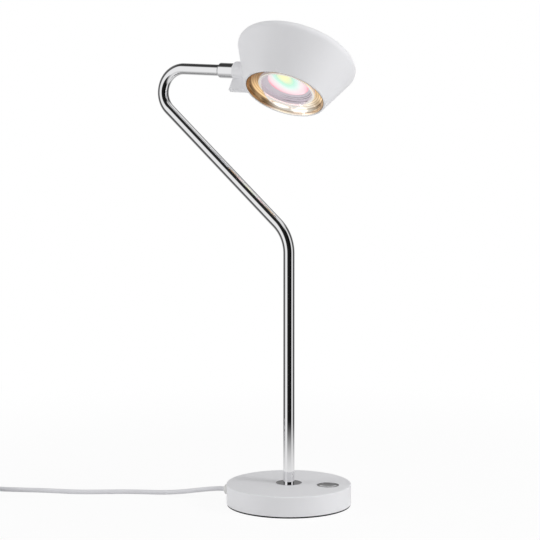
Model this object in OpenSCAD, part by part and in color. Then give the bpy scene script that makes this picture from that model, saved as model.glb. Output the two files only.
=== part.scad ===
// Desk lamp: a round weighted base, one bent tube and a swivelling head with a lens.
// The origin is on the table under the base's centre, +Z is up, and the head lies towards +X.
// The head is stored turned towards -Y, and the arm a little turned in the base.

/* [Base] */
// Diameter of the base
base_d = 130; // [124:1:170]
// Height of the base's top above the table
base_h = 22; // [22:0.5:32]
// Side wall of the housing
base_wall = 2.5; // [2:0.1:3]
// Top wall of the housing
base_top_t = 2.6; // [2:0.1:3]
// Rounding of the housing's top edge
base_edge_r = 1.2; // [0.5:0.1:2]
// Thickness of the foot pad
pad_t = 1.6; // [0.8:0.1:2.2]
// How far the foot pad stays back from the housing's side
pad_inset = 0.6; // [0.4:0.1:2]
// Thickness of the bottom plate
plate_t = 1.5; // [1:0.1:2]
// Angle from the arm to the side of the base that holds the button
base_turn = 12.5; // [0:0.5:30]
// Diameter of the posts that the bottom plate is screwed to
post_d = 8; // [7:0.5:9]
// Distance of those posts' axes from the inside of the housing's wall
post_inset = 9; // [8:0.5:9.5]

/* [Arm bearing] */
// Length of the bearing in the housing
bearing_len = 8.5; // [8:0.1:9]
// Outer diameter of the bearing boss
bearing_boss_d = 34; // [32:0.5:36]
// Outer diameter of the bush
bush_d = 16; // [15:0.5:18]
// Thickness of the bush's floor, which carries the tube
bush_floor_t = 1.5; // [1:0.1:2]
// Outer diameter of the chrome collar round the tube's foot
collar_d = 27; // [25:0.5:29]
// Thickness of the collar
collar_t = 1.6; // [1.2:0.1:2]
// How far the collar stands above the base
collar_proud = 0.4; // [0.2:0.1:0.6]
// Turn of the arm in the base, to each side of the button
arm_turn_limit = 150; // [90:5:160]

/* [Tube] */
// Outer diameter of the tube
tube_d = 12; // [11:0.5:13]
// Wall of the tube
tube_wall = 1; // [0.8:0.1:1.5]
// Height at which the first bend starts
upright_h = 262; // [200:1:300]
// Lean of the slanting stretch from upright
lean = 47.5; // [35:0.5:55]
// Radius of the first bend, on the centre line
lower_bend_r = 42; // [30:1:60]
// Length of the slanting stretch
slant_len = 179; // [140:1:220]
// Radius of the return bend, on the centre line
upper_bend_r = 25; // [22:1:30]
// Downward slope of the end stretch
droop = 3.8; // [0:0.1:10]
// Distance of the head's axis in front of the base's centre
reach = 3; // [-20:1:40]

/* [Head swivel] */
// Distance from the head's axis to the boss's end face
boss_reach = 67; // [66:0.5:76]
// Outer diameter of the boss
boss_d = 20; // [19:0.5:22]
// Rounding of the boss's end
boss_edge_r = 1.5; // [0.5:0.1:2.5]
// Thickness of the boss's end wall
boss_wall = 6; // [5:0.1:7]
// Bore behind the boss's end wall
boss_socket_d = 17; // [16.6:0.1:17.4]
// Outer diameter of the chrome sleeve on the tube's end
sleeve_d = 16; // [15:0.5:18]
// Length of the sleeve
sleeve_len = 18.5; // [15:0.5:22]
// Length of the tube inside the sleeve
sleeve_grip = 10; // [8:0.5:12]
// Thickness of the slip washer between sleeve and boss
slip_t = 0.45; // [0.3:0.05:0.8]
// Outer diameter of the hollow spindle
spindle_d = 9.8; // [9:0.1:9.8]
// Bore of the spindle and of the stud in the base
spindle_bore = 6; // [5:0.1:6.5]
// Turn of the head from straight down, to each side
head_turn_limit = 150; // [90:5:160]
// Turn of the head from straight down, as stored
head_turn = 30; // [0:1:60]

/* [Head] */
// Outer diameter at the light opening
rim_d = 86.6; // [84:0.2:92]
// Height of the head along its axis
head_h = 50.5; // [48:0.5:56]
// Distance from the swivel axis to the light opening
rim_drop = 25.5; // [25:0.5:27]
// Angle of the side to the head's axis
flare = 25.5; // [22:0.5:28]
// Rounding of the upper edge
crown_r = 7; // [5:0.5:8]
// Wall of the head housing
head_wall = 2; // [1.6:0.1:2.5]
// Thickness of the lug under the boss
lug_t = 4.5; // [4:0.5:9]
// How far the lug's end face stays behind the boss's
lug_step = 1.3; // [0.8:0.1:3]
// How far the lug stays behind the light opening
lug_inset = 0.8; // [0.5:0.1:3]
// Thickness of the top cover
cover_t = 1.6; // [1.2:0.1:2]
// Diameter of the top cover
cover_d = 109; // [108:0.5:109.5]
// Number of vent slots in the top cover
vent_count = 24; // [12:1:30]

/* [Light] */
// Diameter of the lens
lens_d = 57; // [55:0.2:58]
// Thickness of the lens's edge
lens_edge_t = 2; // [1.5:0.1:2.5]
// Bulge of the lens's outer face
lens_bulge_out = 19.5; // [16:0.5:22]
// Bulge of the lens's inner face
lens_bulge_in = 3; // [2:0.5:6]
// Width of the flat edge that holds the lens
lens_flange = 1; // [0.8:0.1:1.3]
// Depth of the lens's edge behind the light opening
lens_depth = 7; // [6:0.1:7.5]
// Depth of the lens holder's front edge, where the outer reflector ends
trim_depth = 9; // [7:0.5:10]
// Thickness of the reflectors
reflector_t = 0.8; // [0.6:0.1:1]
// Diameter of the colour filter
filter_d = 42; // [36:0.5:44]
// Room between the lens and the colour filter
filter_gap = 1; // [0.6:0.1:2]
// Thickness of the colour filter
filter_t = 1.5; // [1:0.1:2]
// Diameter of the heat sink
sink_d = 99; // [96:1:99]
// Thickness of the heat sink's disc
sink_t = 3; // [2:0.1:4]
// Room between the heat sink's fins and the cover's ledge
fin_room = 2.4; // [1.5:0.1:4]
// Number of fins
fin_count = 24; // [24:24:24]
// Diameter of the light source's carrier
carrier_d = 34; // [33:0.5:36]
// Diameter of the light source
source_d = 14; // [10:0.5:15]

/* [Button] */
// Distance of the button from the side of the base
button_inset = 23; // [22:0.5:25]
// Diameter of the button's cap
cap_d = 19; // [17:0.5:19.5]
// Diameter of the ring round the cap
bezel_d = 23; // [22.5:0.5:25]
// Depth of the hollow in the cap
cap_dish = 1; // [0.6:0.1:1.2]
// Travel of the button
button_travel = 1.2; // [0.8:0.1:1.4]

/* [Cord] */
// Diameter of the cord
cord_d = 4.8; // [4.6:0.1:5]
// Height of the cord's axis where it enters the base
gland_h = 11.5; // [11.5:0.1:12]
// Diameter of the gland outside the base
gland_d = 10.6; // [10:0.1:11]
// How far the gland stands out of the base
gland_proud = 5; // [4:0.1:6]
// Diameter of the leads inside the lamp
lead_d = 2.6; // [2:0.1:2.8]
// Diameter of a plug pin
pin_d = 4; // [4:0.1:4.8]
// Length of a plug pin
pin_len = 19; // [17:0.5:19]
// Distance between the plug pins
pin_gap = 18.6; // [18:0.1:19]

/* [Hidden] */
$fn = 96;

/* Clearances and small parts */
fit = 0.05;           // radial clearance of a running fit
slack = 0.3;          // clearance between pieces that don't touch
face_gap = 0.1;       // clearance between faces that turn on each other
cut = 1;              // how far a cutting shape runs past what it cuts
lap = 0.5;            // how far a straight of the arm laps a bend
lap_rise = 0.05;      // how much thicker that straight is, on the radius
m3 = 3;               // thread of the larger screws
m25 = 2.5;            // thread of the smaller screws
small_post_d = 5;     // posts for the smaller screws

/* Levels and radii in the base */
base_r = base_d / 2;
inner_r = base_r - base_wall;
post_ring_r = inner_r - post_inset;
bottom_screw_l = 10;
plate_top = pad_t + plate_t;
ceiling = base_h - base_top_t;
bearing_floor = base_h - bearing_len;
tube_foot = bearing_floor + bush_floor_t;
washer_t = 1.1;
spring_washer_t = 1;
nut_t = 3;
nut_af = 14;
stop_washer_d = 30;
stop_slot_depth = 1.6;
stop_slot_in = 11.5;
stop_slot_out = 14.5;
stop_tab_w = 3;
stud_d = 10;
stud_washer_top = bearing_floor - face_gap;
stud_nut_top = stud_washer_top - washer_t - spring_washer_t;
stud_spring_washer_d = 18;
stud_end = stud_nut_top - nut_t - 0.5;
stud_plug_l = 15;
lead_run = plate_top + lead_d / 2 + slack;
lead_bend_r = stud_end - lead_run;

/* Gland and cord clamp */
gland_face = base_r + gland_proud;
gland_tail = 8.6;
gland_neck_d = 8.6;
gland_lip_t = 2;
clamp_far = inner_r - gland_tail - 1.4;
clamp_w = 6;
clamp_near = clamp_far - clamp_w;
clamp_l = 18;
clamp_t = 3;
clamp_screw_y = 6.5;

/* Driver board and its parts, which hang from it: distances from the base's axis towards the gland */
board_t = 1.6;
board_drop = 3.8;
board_top = ceiling - board_drop;
board_bottom = board_top - board_t;
terminal_size = [8, 11, 8.5];
terminal_hole_d = 3;
terminal_far = clamp_near - 3.1;
board_far = terminal_far + 0.6;
board_near = bearing_boss_d / 2 + 1;
board_mid = (board_far + board_near) / 2;
board_l = 58;
board_screw_y = 26;
board_screw_l = board_t + 2.8;
small_head_d = 4.4;
small_head_h = 1.5;
pocket_near = 14;
pocket_half = 31;
lead_board_x = -board_near - 1.6;
transformer_size = [12, 14, 9];
transformer_y = 15;
bobbin_size = [2, 12, 3];
part_edge = 0.5;
capacitor_d = 7.5;
capacitor_h = 10;
capacitor_far = board_far - part_edge - capacitor_d / 2;
capacitor_y = -12;
capacitor_step = 8.5;
film_size = [10, 5, 8];
choke_d = 9;
choke_bore = 3;
choke_h = 8;
choke_near = board_near + part_edge + choke_d / 2;
transformer_far = board_far - part_edge - bobbin_size[0] - transformer_size[0] / 2;

/* Button, its well and its switch */
button_reach = base_r - button_inset;
button_top = base_h + 0.2;
cap_h = 2.6;
cap_skin = 0.6;
cap_gap = 0.3;
bezel_in = cap_d + 2 * cap_gap;
bezel_body_d = bezel_d - 1.4;
bezel_lip_t = 0.35;
well_floor = bearing_floor - face_gap;
well_floor_t = 1.4;
well_d = 26;
well_in = cap_d + 1;
plunger_d = cap_d - 1.6;
plunger_t = 1.4;
stem_d = 6;
clip_d = 9;
clip_t = 0.8;
stem_end = well_floor - well_floor_t - face_gap - clip_t - 0.4;
switch_board_bottom = plate_top + 1.3;
switch_board_top = switch_board_bottom + board_t;
switch_body_top = stem_end - button_travel - 0.4;
switch_pin_d = 3.4;
switch_size = 12;
switch_board_w = 24;
switch_screw_l = board_t + 8;
switch_post_y = 14;
ballast_bore = bearing_boss_d + 4;
ballast_rim_gap = 1;
right_pocket_x = button_reach - 14;
right_pocket_half = 19;
switch_lead_d = 2;
switch_lead_y = 12;
switch_lead_r = 3;
switch_lead_h = switch_board_top + switch_lead_r;

/* Arm's centre line, in the XZ plane */
slant_from = [-lower_bend_r * (1 - cos(lean)), upright_h + lower_bend_r * sin(lean)];
slant_to = slant_from + slant_len * [-sin(lean), cos(lean)];
upper_centre = slant_to + upper_bend_r * [cos(lean), sin(lean)];
return_turn = 90 + lean + droop;
end_from = upper_centre + upper_bend_r * [sin(droop), cos(droop)];
end_len = (reach - end_from[0]) / cos(droop);
head_at = end_from + end_len * [cos(droop), -sin(droop)];

/* Swivel, measured from the head's axis against the arm's direction */
sleeve_face = boss_reach + slip_t + fit;
sleeve_back = sleeve_face + sleeve_len;
tube_end = sleeve_back - sleeve_grip;
socket_face = boss_reach - boss_wall;
swivel_washer_d = 16;
swivel_slot_in = 5.9;
swivel_slot_out = 7.4;
swivel_tab_w = 2;
swivel_washer_face = socket_face - face_gap;
swivel_nut_face = swivel_washer_face - washer_t - spring_washer_t;
spindle_end = swivel_nut_face - nut_t - 0.6;
spindle_spring_washer_d = 15;
spindle_grip = 8;
boss_len = boss_reach - sink_d / 2 - 0.5;
lug_reach = boss_reach - lug_step;
sleeve_bevel = 1.6;

/* Head, from the light opening at -rim_drop to the top */
rim_z = -rim_drop;
top_z = head_h - rim_drop;
rim_r = rim_d / 2;
crown_z = top_z - crown_r;
crown_centre_r = side_r(crown_z) - crown_r / cos(flare);
cover_seat = top_z - cover_t;
ledge_t = 2;
cover_screw_r = cover_d / 2 - 2.7;
ledge_in = cover_screw_r - 1.8;
rim_open_r = rim_r - 1.7;
rim_lip_t = 1.5;
sink_z = 4;
fin_h = cover_seat - ledge_t - fin_room - sink_z - sink_t;
sink_screw_r = sink_d / 2 - 3.5;
sink_screw_l = sink_t + 7;
head_post_h = 12;
head_post_d = 7;
lug_top = boss_d / 2 - 2;
carrier_t = 1.6;
source_t = 1.2;
carrier_z = sink_z - carrier_t;
source_z = carrier_z - source_t;
neck_z = source_z - 0.2;
neck_r = source_d / 2 + 0.6;
filter_r = filter_d / 2;
lens_z = rim_z + lens_depth;
lens_r = lens_d / 2;
holder_wall = 1.2;
holder_in = lens_r + slack;
holder_out = holder_in + holder_wall;
lens_seat_z = lens_z + lens_edge_t + face_gap;
bowl_end_z = lens_z + 4;
filter_z = lens_z + lens_edge_t + lens_bulge_in + filter_gap;
holder_flange_r = 37;
holder_flange_t = 2;
holder_screw_l = holder_flange_t + sink_t - 1;
sink_head_d = 5.5;
sink_head_h = 2;
holder_screw_r = 34;
head_screw_turn = [0, 120, 240];
connector_w = 5;

/* Cord: round numbers chosen along the route, in the lamp's frame */
cord_route = [
    [-81, -18, 10.8], [-93.5, -20.6, 9], [-106, -23, 6.9], [-118.5, -24.9, 4.9],
    [-131.5, -27.1, 3.4], [-144, -30, 2.6], [-156.5, -33.8, 2.4], [-168.5, -38.8, 2.4],
    [-180, -44.6, 2.4], [-191, -51, 2.4], [-202, -57.6, 2.4], [-213, -63.8, 2.4],
    [-225, -69.2, 2.4], [-238, -73.4, 2.4], [-251, -77.2, 2.4], [-263.5, -81.4, 2.4],
    [-276, -86.4, 2.4], [-289, -91.4, 2.4], [-302, -95.8, 2.4], [-315, -98.8, 2.8]
];
lead_sides = 10;

/* Coil: 8 turns in 4 layers, in, out, in and out again */
coil_at = [-332, -133];
coil_in = 24;
turns_in_layer = 1.625;
climb_turns = 0.5;
coil_layers = 4;
coil_pitch = cord_d + 1.1;
rings_per_turn = 24;
coil_sides = 6;
tie_t = 0.8;
tie_w = 9;
tie_turn = 300;
coil_lift = tie_t + 0.2;
coil_out = coil_in + turns_in_layer * coil_pitch;
layer_turns = turns_in_layer + climb_turns;
coil_turns = coil_layers * turns_in_layer + (coil_layers - 1) * climb_turns;
coil_base = coil_lift + cord_d / 2;
coil_top = coil_base + (coil_layers - 1) * coil_pitch;

/* Tail of the cord and plug, from the coil's last turn: points from the coil's centre */
plug_at = [-57, 4];
plug_w = 35;
plug_t = 13.6;
plug_body_l = 16;
plug_boot_l = 20;
plug_boot_d = 8;
plug_axis_h = plug_t / 2 + 0.2;
pin_root = 8;
pin_shank_d = 2.6;
pin_sleeve_l = 10;
pin_sleeve_d = 3.4;
tail_points = [
    [-20, 32.6, -1], [-29.5, 30.8, -3], [-38.5, 27, -5.8], [-46.5, 21.4, -9], [-52.6, 15.4, -12]
];

function side_r(z) = rim_r + (z - rim_z) * tan(flare);
function unit(v) = v / norm(v);

// How far along the coil a share of its turns lies: the radius and height of its centre line
function coil_layer(t) = min(floor(t / layer_turns), coil_layers - 1);
function coil_share(t) = min((t - coil_layer(t) * layer_turns) / turns_in_layer, 1);
function coil_climb(t) = max(t - coil_layer(t) * layer_turns - turns_in_layer, 0) / climb_turns;
function coil_radius(t) =
    coil_layer(t) % 2 == 0 ? coil_out - (coil_out - coil_in) * coil_share(t)
    : coil_in + (coil_out - coil_in) * coil_share(t);
function coil_point(t) = [
    coil_at[0] + coil_radius(t) * cos(90 + 360 * t),
    coil_at[1] + coil_radius(t) * sin(90 + 360 * t),
    coil_base + coil_pitch * (coil_layer(t) + coil_climb(t))
];
coil_start = [coil_at[0] + cord_d, coil_at[1] + coil_out, coil_base];
coil_end = [coil_at[0] - cord_d, coil_at[1] + coil_out, coil_top];
coil_path = concat(
    [coil_start],
    [for (i = [0:coil_turns * rings_per_turn]) coil_point(i / rings_per_turn)],
    [coil_end]
);
gland_point = [
    -gland_face * cos(base_turn), -gland_face * sin(base_turn), gland_h
];
lead_path = concat(
    [gland_point, gland_point - cord_d * [cos(base_turn), sin(base_turn), 0]], cord_route,
    [coil_start + [cord_d, 0, 0], coil_start]
);
plug_cord_end = [coil_at[0] + plug_at[0], coil_at[1] + plug_at[1], plug_axis_h];
tail_path = concat(
    [coil_end, coil_end - [cord_d, 0, 0]],
    [for (p = tail_points) [coil_at[0] + p[0], coil_at[1] + p[1], coil_top + p[2]]],
    [plug_cord_end + [0, cord_d, 0], plug_cord_end]
);

// Least gap from one turn to another, measured between points over half a turn apart
coil_gap = min([
    for (i = [1:len(coil_path) - 14], j = [i + 12:len(coil_path) - 2])
    norm(coil_path[i] - coil_path[j])
]) - cord_d;
echo(coil_gap = coil_gap);

function path_length(p, i = 0) =
    i >= len(p) - 1 ? 0 : norm(p[i + 1] - p[i]) + path_length(p, i + 1);
echo(cord_length = path_length(lead_path) + path_length(coil_path) + path_length(tail_path));

function heading(p, i) =
    i == 0 ? unit(p[1] - p[0])
    : i == len(p) - 1 ? unit(p[i] - p[i - 1])
    : unit(unit(p[i + 1] - p[i]) + unit(p[i] - p[i - 1]));
function ring_points(centre, along, r, sides) =
    let (across = unit(cross(along, [0, 0, 1])), up = cross(across, along))
    [for (k = [0:sides - 1]) centre + r * (cos(360 * k / sides) * across + sin(360 * k / sides) * up)];

// A tube swept along points, as one closed solid
module swept_tube(path, r, sides) {
    rings = len(path);
    points = [for (i = [0:rings - 1]) each ring_points(path[i], heading(path, i), r, sides)];
    walls = [
        for (i = [0:rings - 2], k = [0:sides - 1])
        each let (a = i * sides + k, b = i * sides + (k + 1) % sides)
        [[a, b, b + sides], [a, b + sides, a + sides]]
    ];
    first_end = [[for (k = [sides - 1:-1:0]) k]];
    last_end = [[for (k = [0:sides - 1]) (rings - 1) * sides + k]];
    polyhedron(points, concat(first_end, walls, last_end), convexity = 10);
}

/* Shared shapes */

// A ring or a washer
module ring(d, bore, h) {
    difference() {
        cylinder(d = d, h = h);
        translate([0, 0, -cut]) cylinder(d = bore, h = h + 2 * cut);
    }
}

// A screw pointing up, with its head below zero
module screw(d, l, head_d, head_h) {
    difference() {
        union() {
            translate([0, 0, -head_h]) cylinder(d = head_d, h = head_h);
            translate([0, 0, -head_h / 2]) cylinder(d = d - 2 * fit, h = l + head_h / 2);
        }
        translate([0, 0, -head_h - cut]) cylinder(d = d * 0.7, h = head_h * 0.6 + cut, $fn = 6);
    }
}

// A countersunk screw pointing up, its face at zero
// The cut for a sunk screw's head in a face at z = 0, from above
module countersink(d) {
    translate([0, 0, -d / 2]) cylinder(d1 = d, d2 = 2 * (d + cut), h = d / 2 + cut);
}

module sunk_screw(d, l) {
    difference() {
        union() {
            cylinder(d1 = 2 * d - 2 * fit, d2 = d - 2 * fit, h = d / 2);
            cylinder(d = d - 2 * fit, h = l);
        }
        translate([0, 0, -cut]) cylinder(d = d * 0.6, h = d * 0.4 + cut, $fn = 6);
    }
}

module hex_nut(bore, h) {
    difference() {
        cylinder(d = nut_af / cos(30), h = h, $fn = 6);
        translate([0, 0, -cut]) cylinder(d = bore, h = h + 2 * cut);
    }
}

// A washer that ends in a raised tab, which runs in a stop slot
module stop_washer(d, bore, tab_r, tab_l, tab_w, tab_h) {
    ring(d, bore, washer_t);
    translate([tab_r, -tab_w / 2, 0]) cube([tab_l, tab_w, washer_t + tab_h]);
}

// An arc slot for that tab, centred on +X, that ends at the limit to each side
module stop_slot(r_in, r_out, limit, tab_w, depth) {
    half = limit + asin(tab_w / 2 / r_in) + 1;
    rotate([0, 0, -half])
        rotate_extrude(angle = 2 * half) translate([r_in, 0]) square([r_out - r_in, depth]);
}

// A lens's bulge: the part of a ball that stands on a circle
module bulge(r, h) {
    ball_r = (r * r + h * h) / (2 * h);
    intersection() {
        translate([0, 0, h - ball_r]) sphere(r = ball_r);
        cylinder(r = r, h = h + cut);
    }
}

module in_base() { rotate([0, 0, base_turn]) children(); }
module at_gland() { in_base() translate([0, 0, gland_h]) rotate([0, -90, 0]) children(); }
module at_button() { in_base() translate([button_reach, 0, 0]) children(); }
module at_arm_end() { translate([head_at[0], 0, head_at[1]]) rotate([0, droop, 0]) children(); }
module at_head() { at_arm_end() rotate([-head_turn, 0, 0]) children(); }
// The swivel's own frame: z runs from the head's axis back along the arm
module at_swivel() { at_arm_end() rotate([0, -90, 0]) children(); }
module at_corners() { for (a = [45:90:315]) rotate([0, 0, a]) translate([post_ring_r, 0, 0]) children(); }
module at_head_screws(r) {
    for (a = head_screw_turn) rotate([0, 0, a]) translate([r, 0, 0]) children();
}

// A round rod along the arm's centre line, from a height in the foot to a distance short of the head's
// axis. The later straights are a hair thicker and lap the bends, so that all join as one solid.
module arm_rod(d, from_z, short_of) {
    translate([0, 0, from_z]) cylinder(d = d, h = upright_h - from_z);
    translate([-lower_bend_r, 0, upright_h]) rotate([90, 0, 0])
        rotate_extrude(angle = lean) translate([lower_bend_r, 0]) circle(d = d);
    translate([slant_from[0], 0, slant_from[1]]) rotate([0, -lean, 0])
        translate([0, 0, -lap]) cylinder(d = d + 2 * lap_rise, h = slant_len + 2 * lap);
    translate([upper_centre[0], 0, upper_centre[1]]) rotate([90, 0, 0]) rotate([0, 0, 90 - droop])
        rotate_extrude(angle = return_turn) translate([upper_bend_r, 0]) circle(d = d);
    translate([end_from[0], 0, end_from[1]]) rotate([0, 90 + droop, 0])
        translate([0, 0, -lap]) cylinder(d = d + 2 * lap_rise, h = end_len - short_of + lap);
}

/* Base */

module base_housing() {
    color("white") in_base() difference() {
        union() {
            difference() {
                rotate_extrude() union() {
                    translate([0, pad_t]) square([base_r, base_h - base_edge_r - pad_t]);
                    translate([0, pad_t]) square([base_r - base_edge_r, base_h - pad_t]);
                    translate([base_r - base_edge_r, base_h - base_edge_r]) circle(r = base_edge_r);
                }
                translate([0, 0, -cut]) cylinder(r = inner_r, h = ceiling + cut);
            }
            translate([0, 0, bearing_floor])
                cylinder(d = bearing_boss_d, h = ceiling - bearing_floor + fit);
            at_corners() translate([0, 0, plate_top]) cylinder(d = post_d, h = ceiling - plate_top + fit);
            for (y = [-board_screw_y, board_screw_y])
                translate([-board_mid, y, board_top]) cylinder(d = small_post_d, h = board_drop + fit);
            for (y = [-switch_post_y, switch_post_y])
                translate([button_reach, y, switch_board_top])
                    cylinder(d = small_post_d, h = ceiling - switch_board_top + fit);
            translate([button_reach, 0, well_floor - well_floor_t])
                cylinder(d = well_d, h = ceiling - well_floor + well_floor_t + fit);
            translate([-clamp_far, -clamp_l / 2, gland_h + slack])
                cube([clamp_w, clamp_l, ceiling - gland_h - slack + fit]);
        }
        translate([0, 0, -cut]) cylinder(d = bush_d + 2 * fit, h = base_h + 2 * cut);
        translate([0, 0, base_h + collar_proud - collar_t])
            cylinder(d = collar_d + 2 * fit, h = collar_t + cut);
        translate([0, 0, bearing_floor])
            stop_slot(stop_slot_in, stop_slot_out, arm_turn_limit, stop_tab_w, stop_slot_depth);
        at_corners() cylinder(d = m3, h = ceiling);
        for (y = [-board_screw_y, board_screw_y])
            translate([-board_mid, y, 0]) cylinder(d = m25, h = board_bottom + board_screw_l + fit);
        for (y = [-switch_post_y, switch_post_y])
            translate([button_reach, y, 0])
                cylinder(d = m25, h = switch_board_bottom + switch_screw_l + fit);
        translate([button_reach, 0, well_floor]) cylinder(d = well_in, h = ceiling - well_floor);
        translate([button_reach, 0, ceiling - fit]) cylinder(d = bezel_body_d + 2 * fit, h = base_h);
        translate([button_reach, 0, 0]) cylinder(d = stem_d + 2 * fit, h = base_h);
        for (y = [-clamp_screw_y, clamp_screw_y])
            translate([clamp_w / 2 - clamp_far, y, 0]) cylinder(d = m25, h = ceiling - 1);
        translate([-terminal_far, 0, gland_h]) rotate([0, -90, 0])
            cylinder(d = cord_d + 2 * fit, h = base_r);
        translate([-inner_r + cut, 0, gland_h]) rotate([0, -90, 0])
            cylinder(d = gland_neck_d + 2 * fit, h = base_wall + 2 * cut);
    }
}

module foot_pad() {
    color("dimgray") cylinder(r = base_r - pad_inset, h = pad_t);
}

module bottom_plate() {
    color("silver") in_base() translate([0, 0, pad_t]) difference() {
        cylinder(r = inner_r - slack, h = plate_t);
        at_corners() translate([0, 0, -cut]) cylinder(d = m3 + 2 * fit, h = plate_t + 2 * cut);
        at_corners() mirror([0, 0, 1]) countersink(m3);
    }
}

module bottom_screws() {
    color("gray") in_base() translate([0, 0, pad_t]) at_corners() sunk_screw(m3, bottom_screw_l);
}

module ballast() {
    color("dimgray") in_base() translate([0, 0, plate_top]) difference() {
        cylinder(r = inner_r - ballast_rim_gap, h = ceiling - plate_top - slack);
        translate([0, 0, -cut]) cylinder(d = ballast_bore, h = base_h);
        translate([-base_r, -pocket_half, -cut]) cube([base_r - pocket_near, 2 * pocket_half, base_h]);
        translate([right_pocket_x, -right_pocket_half, -cut])
            cube([base_r, 2 * right_pocket_half, base_h]);
        translate([0, switch_lead_y - switch_lead_d, -cut])
            cube([
                right_pocket_x + cut, 2 * switch_lead_d, switch_lead_h - plate_top + switch_lead_d + cut
            ]);
        at_corners() translate([0, 0, -cut]) cylinder(d = post_d + 2 * slack, h = base_h);
    }
}

module tube_collar() {
    color("silver") translate([0, 0, base_h + collar_proud - collar_t])
        ring(collar_d, tube_d + 2 * fit, collar_t);
}

module tube_bush() {
    color("ivory") translate([0, 0, bearing_floor]) difference() {
        cylinder(d = bush_d, h = bearing_len + collar_proud - collar_t);
        translate([0, 0, bush_floor_t]) cylinder(d = tube_d + 2 * fit, h = base_h);
        translate([0, 0, -cut]) cylinder(d = stud_d + 2 * fit, h = base_h);
    }
}

module driver_board() {
    color("darkgreen") in_base() translate([0, 0, board_bottom]) difference() {
        translate([-board_far, -board_l / 2, 0]) cube([board_far - board_near, board_l, board_t]);
        for (y = [-board_screw_y, board_screw_y])
            translate([-board_mid, y, -cut]) cylinder(d = m25, h = board_t + 2 * cut);
    }
}

// A boxed part that hangs under the driver board
module hung_box(at, size) {
    translate([at[0] - size[0] / 2, at[1] - size[1] / 2, board_bottom - size[2]]) cube(size);
}

// The transformer with its bobbin's flanges, and the ring-shaped choke
module driver_windings() {
    color("goldenrod") in_base() {
        hung_box([-transformer_far, transformer_y], transformer_size);
        for (side = [-1, 1])
            hung_box([
                -transformer_far + side * (transformer_size[0] + bobbin_size[0]) / 2, transformer_y
            ], bobbin_size);
        translate([-choke_near, capacitor_y - capacitor_step, board_bottom - choke_h])
            ring(choke_d, choke_bore, choke_h);
    }
}

module driver_capacitors() {
    color("navy") in_base() {
        for (i = [0, 1])
            translate([-capacitor_far, capacitor_y - i * capacitor_step, board_bottom - capacitor_h])
                cylinder(d = capacitor_d, h = capacitor_h);
        hung_box([-choke_near, capacitor_y], film_size);
    }
}

module terminal_block() {
    color("white") in_base()
        translate([-terminal_far, -terminal_size[1] / 2, board_bottom - terminal_size[2]]) difference() {
            cube(terminal_size);
            for (i = [1, 3]) translate([terminal_size[0] / 2, i * terminal_size[1] / 4, -cut])
                cylinder(d = terminal_hole_d, h = terminal_hole_d + cut);
        }
}

module board_screws() {
    color("gray") in_base() for (y = [-board_screw_y, board_screw_y])
        translate([-board_mid, y, board_bottom]) screw(m25, board_screw_l, small_head_d, small_head_h);
}

module switch_board() {
    color("darkgreen") in_base() translate([button_reach, 0, switch_board_bottom]) difference() {
        translate([-switch_board_w / 2, 2 - right_pocket_half, 0])
            cube([switch_board_w, 2 * right_pocket_half - 4, board_t]);
        for (y = [-switch_post_y, switch_post_y])
            translate([0, y, -cut]) cylinder(d = m25, h = board_t + 2 * cut);
    }
}

module push_switch() {
    color("black") at_button() translate([0, 0, switch_board_top]) difference() {
        translate([-switch_size / 2, -switch_size / 2, 0])
            cube([switch_size, switch_size, switch_body_top - switch_board_top]);
        translate([0, 0, switch_body_top - switch_board_top - 2 * button_travel - slack])
            cylinder(d = switch_pin_d + 2 * fit, h = base_h);
    }
}

module switch_screws() {
    color("gray") in_base() for (y = [-switch_post_y, switch_post_y])
        translate([button_reach, y, switch_board_bottom]) screw(m25, switch_screw_l, small_head_d, 1);
}

module button_bezel() {
    color("silver") at_button() difference() {
        union() {
            translate([0, 0, ceiling]) cylinder(d = bezel_body_d, h = base_top_t);
            translate([0, 0, base_h]) cylinder(d = bezel_d, h = bezel_lip_t);
        }
        translate([0, 0, ceiling - cut]) cylinder(d = bezel_in, h = base_h);
    }
}

module button_spring() {
    wire_r = 0.35;
    coils = 4;
    steps = 12;
    mean_r = 5.4;
    low = well_floor + wire_r;
    high = button_top - cap_dish - cap_skin - plunger_t - wire_r;
    path = [
        for (i = [0:coils * steps])
        let (share = i / (coils * steps))
        [mean_r * cos(360 * i / steps), mean_r * sin(360 * i / steps), low + (high - low) * share]
    ];
    color("gray") at_button() swept_tube(path, wire_r, 6);
}

module cord_gland() {
    color("white") at_gland() difference() {
        rotate_extrude() union() {
            translate([0, base_r]) square([gland_d / 2, gland_proud - 2]);
            translate([0, base_r]) square([gland_d / 2 - 2, gland_proud]);
            translate([gland_d / 2 - 2, gland_face - 2]) circle(r = 2);
            translate([0, inner_r - cut]) square([gland_neck_d / 2, base_wall + 2 * cut]);
            polygon([
                [0, inner_r - gland_tail], [cord_d / 2 + 0.9, inner_r - gland_tail],
                [gland_neck_d / 2 - 0.4, inner_r - 2], [gland_d / 2, inner_r - 2],
                [gland_d / 2, inner_r - slack], [0, inner_r - slack]
            ]);
        }
        cylinder(d = cord_d + 2 * fit, h = 2 * base_r);
    }
}

module cord_clamp() {
    color("ivory") in_base() difference() {
        translate([-clamp_far, -clamp_l / 2, gland_h - slack - clamp_t]) cube([clamp_w, clamp_l, clamp_t]);
        translate([0, 0, gland_h]) rotate([0, -90, 0]) cylinder(d = cord_d + 2 * fit, h = base_r);
        for (y = [-clamp_screw_y, clamp_screw_y])
            translate([clamp_w / 2 - clamp_far, y, 0]) cylinder(d = m25, h = base_h);
    }
}

module clamp_screws() {
    color("gray") in_base() for (y = [-clamp_screw_y, clamp_screw_y])
        translate([clamp_w / 2 - clamp_far, y, gland_h - slack - clamp_t])
            screw(m25, clamp_t + 5, small_head_d, small_head_h);
}

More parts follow.
